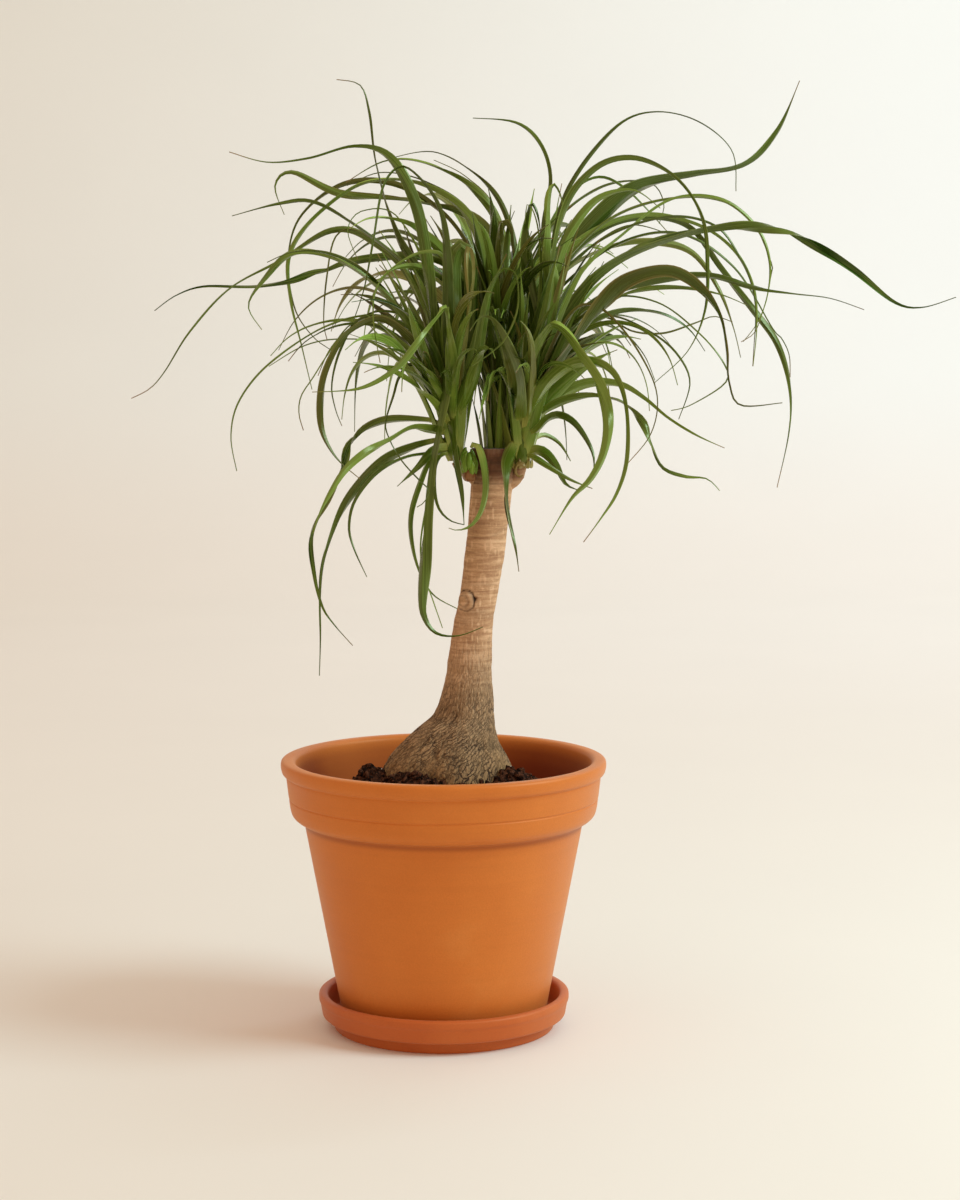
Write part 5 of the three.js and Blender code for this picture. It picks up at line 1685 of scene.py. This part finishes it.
class Company:
    """The places that leaves of other heads keep clear of."""

    def __init__(self) -> None:
        """Starts with the stubs, the cores and the shoot."""
        self.places = np.empty((0, 3))
        self.halves = np.empty(0)
        self.heads = np.empty(0, "U8")
        for name, head in HEADS.items():
            line = np.array(head.stub)[:, :3]
            for start, end in zip(line[:-1], line[1:]):
                self.add_line(start, end, 5, STUB_HALF, "trunk")
            self.add_line(head.foot, head.tip, 7, CORE_RADIUS * head.spread, name.value)
        self.add_line(SHOOT.foot, SHOOT.tip, 6, SHOOT_RADIUS, HeadName.SHOOT.value)

    def add_line(self, start: Array, end: Array, count: int, half: float, head: str) -> None:
        """Takes the places along a straight line for a head."""
        share = (np.arange(count) / (count - 1))[:, None]
        self.add(mix(start, end, share), np.full(count, float(half)), head)

    def add(self, places: Array, halves: Array, head: str) -> None:
        """Takes places for a head.

        Args:
            places: the places.
            halves: half the width of the leaf at each.
            head: the head that they belong to.
        """
        self.places = np.concatenate([self.places, places])
        self.halves = np.concatenate([self.halves, halves])
        self.heads = np.concatenate([self.heads, np.full(len(places), head, "U8")])

    def takes(self, leaf: Leaf, crown: float | None = None) -> bool:
        """Takes a leaf in, if it keeps clear of the trunk and of the other heads.

        Args:
            leaf: the leaf.
            crown: the size of the crown that it has to stay inside, if it has to.

        Returns:
            Whether it is in.
        """
        probes = Probes.of(leaf)
        head = leaf.head.value
        inside = crown is None or probes.inside_crown(crown)
        fits = inside and probes.clear_of_trunk() and self.leaves_room(probes, head)
        if fits:
            self.add(probes.places, probes.halves, head)
        return fits

    def leaves_room(self, probes: Probes, head: str) -> bool:
        """Whether probes of a head keep clear of every other head's places.

        Args:
            probes: the probes.
            head: the head that they belong to.

        Returns:
            True where they do.
        """
        if len(probes.places) == 0:
            return True
        low = probes.places.min(0) - NEAR_ENOUGH
        high = probes.places.max(0) + NEAR_ENOUGH
        near = (self.heads != head) & ((self.places > low) & (self.places < high)).all(1)
        gap = self.places[near][None] - probes.places[:, None]
        reach = probes.halves[:, None] + self.halves[near][None] + LEAF_CLEARANCE
        return bool(((gap ** 2).sum(-1) > reach * reach).all())


def settled_leaf(drawn: Drawn, head: Head, company: Company, number: int) -> Leaf | None:
    """A drawn leaf, moved in depth until it is clear of the other heads and the trunk.

    Args:
        drawn: the drawing.
        head: the head that it grows from.
        company: the places that are taken.
        number: turns its base round the core.

    Returns:
        The leaf, or None where no depth is clear.
    """
    for attempt in range(DRAWN_TRIES):
        shift = (1 if attempt % 2 == 0 else -1) * math.ceil(attempt / 2) * SIDEWAYS_STEP
        leaf = drawn_leaf(drawn, head, drawn.depth + shift, number)
        if company.takes(leaf):
            return leaf
    return None


def grown_leaf(rule: Grown, company: Company, draws: Draws, number: int) -> Leaf | None:
    """A grown leaf that fits into the crown, or None where no try does.

    Args:
        rule: the ranges that it keeps to.
        company: the places that are taken.
        draws: the source of its numbers.
        number: turns its base round the core.

    Returns:
        The leaf, or None.
    """
    head = HEADS[rule.head]
    for _ in range(GROWN_TRIES):
        path, level = grown_line(rule, head, draws, number)
        full = draws.between(*rule.wide)
        roll = math.radians(draws.between(-25, 25))
        leaf = Leaf(rule.head, full, level, path, roll)
        if company.takes(leaf, rule.crown):
            return leaf
    return None


def all_leaves() -> list[Leaf]:
    """Every leaf of the solids, in their order, and then the filling ones.

    Returns:
        The leaves that have their place.
    """
    company = Company()
    leaves = [settled_leaf(SHOOT_LEAF, SHOOT, company, 0)]
    for number, drawn in enumerate(DRAWN_LEAVES):
        leaves.append(settled_leaf(drawn, HEADS[drawn.head], company, number))
    draws = Draws(SEED)
    for rule in GROWN_LEAVES + FILLING_LEAVES:
        for _ in range(rule.count):
            leaves.append(grown_leaf(rule, company, draws, len(leaves)))
    return [leaf for leaf in leaves if leaf is not None]


# Fine leaves


@dataclass(frozen=True)
class BladeForm:
    """How a fine blade is made from a leaf's line."""

    across: int = 9
    fewest: int = 14
    most: int = 150
    row_step: float = 5.5
    turn_reach: float = 0.13
    channel: float = 0.27
    thick_middle: float = 0.9
    thick_edge: float = 0.3
    tip_width: float = 0.8

    def shell(self, leaf: Leaf, look: "LeafLook") -> Shell:
        """A blade with a channel, closed on all sides.

        Args:
            leaf: the leaf's line, width and faces.
            look: what sets this leaf apart from the others.

        Returns:
            Its skin, with the layers that its finish reads.
        """
        smooth = spline(leaf.path, 24)
        count = int(min(max(run_along(smooth)[-1] / self.row_step, self.fewest), self.most))
        line = evenly(smooth, count)
        run = run_along(line)
        along = run / run[-1]
        forward = unit(np.gradient(line, axis=0))
        flat = unit(leaf.level - (forward @ leaf.level)[:, None] * forward)
        upright = np.cross(flat, forward)
        roll = np.full(len(line), leaf.roll)
        if leaf.turn:
            half_turn = smoothstep(along, leaf.turn - self.turn_reach, leaf.turn + self.turn_reach)
            roll = roll + math.pi * half_turn
        wave = np.sin(2 * math.pi * (run / look.sway_mm + look.phase))
        roll = roll + look.sway * smoothstep(along, 0.05, 0.4) * wave
        across = flat * np.cos(roll)[:, None] + upright * np.sin(roll)[:, None]
        up = np.cross(forward, across)

        width = leaf_width(leaf.full, along, leaf.taper or look.taper)
        width = width * (1.16 + 0.1 * np.sin(run / 31 + 9 * look.phase))
        slim = smoothstep(along, 0.8, 1)
        width = np.maximum(mix(width, np.minimum(width, self.tip_width), slim), self.tip_width)
        place = np.linspace(-1, 1, self.across)
        half = width[:, None] / 2 * place
        ripple = 0.05 * np.abs(place) ** 2 * np.sin(run[:, None] / 14 + 3 * place + 20 * look.phase)
        dip = width[:, None] * (-self.channel * (1 - np.abs(place) ** 1.12) * look.channel + ripple)
        upper = line[:, None] + across[:, None] * half[..., None] + up[:, None] * dip[..., None]
        thick = mix(self.thick_middle, self.thick_edge, np.abs(place)) * (0.45 + 0.55 * (1 - along[:, None]))
        lower = upper - up[:, None] * thick[..., None]
        points = np.concatenate([upper, lower[:, ::-1]], axis=1)

        around = 2 * self.across
        dry = smoothstep(along, look.dry_from, look.dry_from + 0.04 + 0.1 * look.phase)[:, None]
        edge_dry = 0.5 * look.edge_dry * smoothstep(np.abs(place), 0.6, 1)[None]
        dry = np.clip(np.maximum(np.broadcast_to(dry, half.shape), look.dry) + edge_dry, 0, 1)
        face = np.broadcast_to(0.04 + 0.96 * np.abs(place), half.shape)
        tone = np.full_like(half, look.tone)
        distance = np.broadcast_to(run[:, None] + look.base_mm, half.shape)
        layers = {
            "blade": self.both(half, half, distance),
            "leafdata": self.both(tone, tone, distance),
            "leafside": self.both(face, -face, dry),
        }
        rows = len(line)
        quads = grid_quads(rows, around)[:, ::-1]
        caps = []
        for start, order in ((0, 1), ((rows - 1) * around, -1)):
            column = np.arange(self.across - 1)
            cap = np.stack([column, column + 1, around - 2 - column, around - 1 - column], -1) + start
            caps.append(cap[:, ::order])
        return Shell(points.reshape(-1, 3), np.concatenate([quads, *caps]), layers=layers)

    def both(self, above: Array, below: Array, second: Array) -> Array:
        """A layer over both faces of a blade, with its second number alike on both.

        Args:
            above: the first number on the upper face.
            below: the same on the lower face.
            second: the second number.

        Returns:
            The layer.
        """
        first = np.concatenate([above, below[:, ::-1]], axis=1)
        other = np.concatenate([second, second[:, ::-1]], axis=1)
        return np.stack([first, other], axis=-1).reshape(-1, 2)


@dataclass
class LeafLook:
    """What sets one leaf apart from the others."""

    tone: float
    phase: float
    dry_from: float
    dry: float = 0.0
    edge_dry: float = 0.0
    channel: float = 1.0
    sway: float = 0.16
    sway_mm: float = 130.0
    base_mm: float = 0.0
    taper: float = LEAF_TAPER

    @classmethod
    def drawn_by(cls, random: np.random.Generator) -> "LeafLook":
        """A look from a source of random numbers.

        Args:
            random: the source.

        Returns:
            The look.
        """
        return cls(
            random.uniform(0.05, 0.95), random.random(), random.uniform(0.91, 1.04),
            dry=random.random() ** 16 * 0.5, edge_dry=random.random() ** 6,
            channel=random.uniform(0.6, 1.5), sway=random.uniform(0.4, 1.3),
            sway_mm=random.uniform(170, 360), taper=random.uniform(1.05, 2.1),
        )


def bowed(base: Array, rise: Array, out: Array, clasp: float, reach: float,
          first: float, bow: float) -> Array:
    """The line of a leaf that clasps a stem, rises along it and bows away.

    Args:
        base: where it starts.
        rise: how far it rises, as a vector.
        out: the direction that it bows to.
        clasp: how far it stands off the stem.
        reach: how far it bows away.
        first: the share of its rise at which it has its second point.
        bow: how late it bows.

    Returns:
        Its points.
    """
    step = np.array([0, first, 0.3, 0.55, 0.8, 1.0])[:, None]
    return base + rise * step + out * (clasp * np.minimum(1, step * 5) + reach * step ** bow)


@dataclass
class Foliage:
    """The three heads of leaves and the young shoot."""

    crease: float = 48
    sheath_count: int = 14
    stub_leaf_count: int = 22
    form: BladeForm = BladeForm()
    mature: LeafBlade = LeafBlade("mature_leaf")
    young: LeafBlade = LeafBlade("young_leaf", "#2d4410", "#54761c", "#8aa63c", "#7d9148", dry="#8a5434")
    noise: Noise = Noise(12)
    random: np.random.Generator = field(default_factory=lambda: np.random.default_rng(41))

    def core(self, head: Head) -> Shell:
        """The crowded leaf bases of a head, as one ribbed swelling.

        Args:
            head: the head.

        Returns:
            Its skin.
        """
        foot, top = head.foot, head.tip
        swells = ((0.0, 0.5), (0.16, 0.6), (0.45, 0.7), (0.75, 0.55), (1, 0.2))
        places = [(*mix(foot, top, share), CORE_RADIUS * swell * head.spread) for share, swell in swells]
        shell = tube(places, 60, 40, lambda points: 0.7 * self.noise.soft(points / (2.6, 2.6, 22)))
        x, y, z = shell.points.T
        share = np.clip((z - foot[2]) / (top[2] - foot[2]), 0, 1)
        shell.layers = {
            "blade": pairs(np.arctan2(y, x) * 12, z),
            "leafdata": pairs(0.2, 12 + 60 * share),
            "leafside": pairs(-0.4, 0.5 * smoothstep(share, 0.16, 0.0)),
        }
        return shell

    def sheaths(self, head: Head, name: HeadName) -> list[Shell]:
        """Broad-based leaves that clasp the core of a head, the lowest of them the widest spread.

        Args:
            head: the head.
            name: its name.

        Returns:
            A skin for each leaf.
        """
        shells = []
        for number in range(self.sheath_count):
            share = number / self.sheath_count
            out, level = bearing(number * SPIRAL_STEP + 0.7)
            base = mix(head.foot, head.tip, mix(-0.05, 0.7, share)) + out * 4.5 * head.spread
            rise = self.random.uniform(95, 190)
            lean = mix(0.55, 0.16, share) * self.random.uniform(0.7, 1.2)
            path = bowed(base, unit(head.tip - head.foot) * rise, out, 5, rise * lean, 0.12, 1.9)
            leaf = Leaf(name, self.random.uniform(9, 12.5), level, path)
            look = replace(LeafLook.drawn_by(self.random), sway=0.12, channel=1.3)
            shells.append(self.form.shell(leaf, look))
        return shells

    def clad_stub(self, head: Head, name: HeadName) -> list[Shell]:
        """Leaves that rise from a long stub and hide it.

        Args:
            head: the head that the stub carries.
            name: its name.

        Returns:
            A skin for each leaf.
        """
        line = evenly(spline(np.array(head.stub, float)[:, :3], 12), self.stub_leaf_count)
        shells = []
        for number in range(self.stub_leaf_count):
            angle = -math.pi / 2 + (number % 5 - 2) * 0.75 + 0.2 * math.sin(7.0 * number)
            out, level = bearing(angle)
            rise = self.random.uniform(70, 120)
            lean = self.random.uniform(0.03, 0.22)
            path = bowed(line[number] + out * 4, np.array([0, 0, rise]), out, 4.5, rise * lean, 0.1, 2)
            leaf = Leaf(name, self.random.uniform(8, 12), level, path)
            look = replace(LeafLook.drawn_by(self.random), base_mm=18, sway=0.08)
            shells.append(self.form.shell(leaf, look))
        return shells

    def head_piece(self, name: HeadName, leaves: list[Leaf], material: Material) -> None:
        """A head's piece: its core, its sheaths, its leaves and its strands.

        Args:
            name: the head's name.
            leaves: the leaves of all heads.
            material: the leaves' finish.
        """
        head = HEADS[name]
        shells = [self.core(head), *self.sheaths(head, name)]
        if name is BACK:
            shells += self.clad_stub(head, name)
        own = [leaf for leaf in leaves if leaf.head is name]
        own += [drawn_leaf(drawn, head, drawn.depth, 100 + number)
                for number, drawn in enumerate(STRANDS) if drawn.head is name]
        shells += [self.form.shell(leaf, LeafLook.drawn_by(self.random)) for leaf in own]
        piece = make_piece(f"leaves_{name.value}", joined(shells), [material], self.crease)
        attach(piece, "root")
        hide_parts(f"head_{name.value}")

    def shoot_piece(self, leaves: list[Leaf]) -> None:
        """The young shoot: a red-brown foot, plump pale scales and the leaf that hangs from it.

        Args:
            leaves: the leaves of all heads and of the shoot.
        """
        foot, top = SHOOT.foot, SHOOT.tip
        radii = ((0.0, 1.8), (0.03, 4.4), (0.1, 6.0), (0.18, 6.2), (0.3, 4.2), (0.42, 1.2))
        bulb = tube([(*mix(foot, top, share), radius) for share, radius in radii], 36, 30,
                    lambda points: 0.5 * self.noise.soft(points / (2.4, 2.4, 8)))
        shells = [self.as_scale(bulb, 0.1, 0.95)]
        for number in range(10):
            out = bearing(number * SPIRAL_STEP + 0.5)[0]
            low = mix(foot, top, 0.12 + 0.03 * number)
            rise = 15 + 5 * self.random.random()
            places = [(*(low + out * reach + np.array([0, 0, rise * step])), radius)
                      for step, reach, radius in ((0, 3.4, 1.4), (0.2, 4.6, 2.7), (0.5, 5.0, 3.1),
                                                  (0.8, 4.0, 2.2), (1, 2.6, 0.6))]
            shells.append(self.as_scale(tube(places, 16, 14), 0.75 - 0.05 * number, 0.0))
        look = LeafLook(0.35, 0.4, 0.96, channel=0.9, sway=0.1)
        shells += [self.form.shell(leaf, look) for leaf in leaves if leaf.head is HeadName.SHOOT]
        piece = make_piece("young_shoot", joined(shells), [self.young.material()], self.crease)
        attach(piece, "root")
        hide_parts("bud")

    def as_scale(self, shell: Shell, tone: float, dryness: float) -> Shell:
        """A round body with the layers that the leaf finish reads.

        Args:
            shell: the body.
            tone: how bright it is.
            dryness: how brown it is.

        Returns:
            The same body.
        """
        rise = shell.points[:, 2] - shell.points[:, 2].min()
        shell.layers = {
            "blade": pairs(shell.points[:, 0], rise),
            "leafdata": pairs(tone, 20 + rise),
            "leafside": pairs(np.full(len(rise), 0.4), dryness),
        }
        return shell

    def scraps(self, material: Material) -> None:
        """Dry leaf bases and a dry curl at the foot of the right head.

        Args:
            material: their finish.
        """
        turns = np.linspace(0.3, 5.4, 10)
        curl = np.array([(69.6 + 3.6 * math.cos(turn), -23 + 0.4 * turn, 517 + 5.2 * math.sin(turn))
                         for turn in turns])
        shells = []
        leaf = Leaf(RIGHT, 5.0, np.array([0.0, 1.0, 0.0]), curl, roll=0.2)
        look = LeafLook(0.5, 0.2, 0.99, dry=0.9, channel=0.4, sway=0)
        shells.append(BladeForm(row_step=1.5, thick_middle=2.6, thick_edge=2.0).shell(leaf, look))
        for number in range(7):
            out, level = bearing(number * 0.9 + self.random.uniform(-0.2, 0.2))
            start = HEADS[RIGHT].foot + out * 7.4 - (0, 0, 2)
            path = np.array([start, start + out * 1.2 + (0, 0, 4),
                             start + out * (1.8 + 1.4 * self.random.random()) + (0, 0, 9)])
            leaf = Leaf(RIGHT, 5.5, level, path)
            look = LeafLook(0.6, self.random.random(), 0.7, dry=0.6 + 0.35 * self.random.random(),
                            channel=1.2, sway=0)
            shells.append(BladeForm(row_step=1.5).shell(leaf, look))
        piece = make_piece("dry_leaf_bases", joined(shells), [material], self.crease)
        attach(piece, "root")

    def build(self) -> None:
        """Makes the pieces of all heads and of the shoot."""
        leaves = all_leaves()
        LOG.info("%d leaves have their place", len(leaves))
        material = self.mature.material()
        for name in HEADS:
            self.head_piece(name, leaves, material)
        self.shoot_piece(leaves)
        self.scraps(material)


# Studio


@dataclass(frozen=True)
class Lamp:
    """A square soft light: its place, what it faces, its side in metres, its watts and its colour."""

    name: str
    place: Place
    aim: Place
    side: float
    power: float
    colour: str

    def build(self) -> None:
        """Adds the light, which the camera doesn't see."""
        data = bpy.data.lights.new(self.name, "AREA")
        data.shape = "SQUARE"
        data.size = self.side
        data.energy = self.power
        data.color = linear(self.colour)[:3]
        lamp = bpy.data.objects.new(self.name, data)
        forward = unit(np.array(self.aim, float) - np.array(self.place, float))
        heading = math.atan2(forward[1], forward[0])
        lamp.rotation_euler = (math.acos(-forward[2]), 0, heading - math.pi / 2)
        lamp.location = self.place
        lamp.visible_camera = False
        bpy.context.scene.collection.objects.link(lamp)


@dataclass
class Studio:
    """The camera, the seamless paper and the soft light. The paper's sizes are in millimetres."""

    camera_place: Place = (0.0335, -2.36, 0.648)
    camera_pitch: float = math.pi / 2 - 0.106
    camera_lens: float = 77.775
    camera_film: float = 36
    paper: Paper = Paper()
    paper_front: float = -16000
    paper_back: float = 5400
    paper_half_width: float = 14000
    paper_top: float = 4600
    paper_bend: float = 1700
    air: str = "#ffe3cd"
    air_strength: float = 0.74
    lamps: tuple[Lamp, ...] = (
        Lamp("key", (2.0, -0.55, 1.75), (0.0, 0.05, 0.35), 1.2, 48, "#d1f2ff"),
        Lamp("wall_wash", (2.2, 2.7, 3.3), (1.2, 5.0, 1.0), 2.0, 77, "#c9e6ff"),
    )

    def camera(self) -> None:
        """Sets up the camera of the photograph, whose image is 960 by 1200."""
        data = bpy.data.cameras.new("camera")
        data.sensor_fit = "VERTICAL"
        data.sensor_height = self.camera_film
        data.lens = self.camera_lens
        camera = bpy.data.objects.new("camera", data)
        camera.location = self.camera_place
        camera.rotation_euler = (self.camera_pitch, 0, 0)
        bpy.context.scene.collection.objects.link(camera)
        bpy.context.scene.camera = camera

    def sweep(self) -> None:
        """Lays the paper: a floor that curves up into a wall behind the plant."""
        bend, back = self.paper_bend, self.paper_back
        profile = [(self.paper_front, 0), (back - bend, 0)]
        for angle in np.linspace(0, math.pi / 2, 24)[1:]:
            profile.append((back - bend + bend * math.sin(angle), bend - bend * math.cos(angle)))
        profile.append((back, self.paper_top))
        columns = np.linspace(-self.paper_half_width, self.paper_half_width, 14)
        points = np.array([(x, y, z) for y, z in profile for x in columns])
        shell = Shell(points, grid_quads(len(profile), len(columns), False))
        paper = make_piece("backdrop", shell, [self.paper.material()])

    def build(self) -> None:
        """Sets up the studio."""
        scene = bpy.context.scene
        scene.view_settings.view_transform = "Standard"
        world = bpy.data.worlds.new("studio_air")
        world.use_nodes = True
        background = world.node_tree.nodes["Background"]
        background.inputs["Color"].default_value = linear(self.air)
        background.inputs["Strength"].default_value = self.air_strength
        scene.world = world
        self.camera()
        self.sweep()
        for lamp in self.lamps:
            lamp.build()


def main() -> None:
    """Builds the studio and the plant."""
    logging.basicConfig(level=logging.INFO, format="%(name)s: %(message)s")
    Studio().build()
    pottery = Pottery()
    pottery.saucer()
    pottery.pot()
    SoilBed().build()
    Trunk().build()
    Foliage().build()


if __name__ == "__main__":
    main()
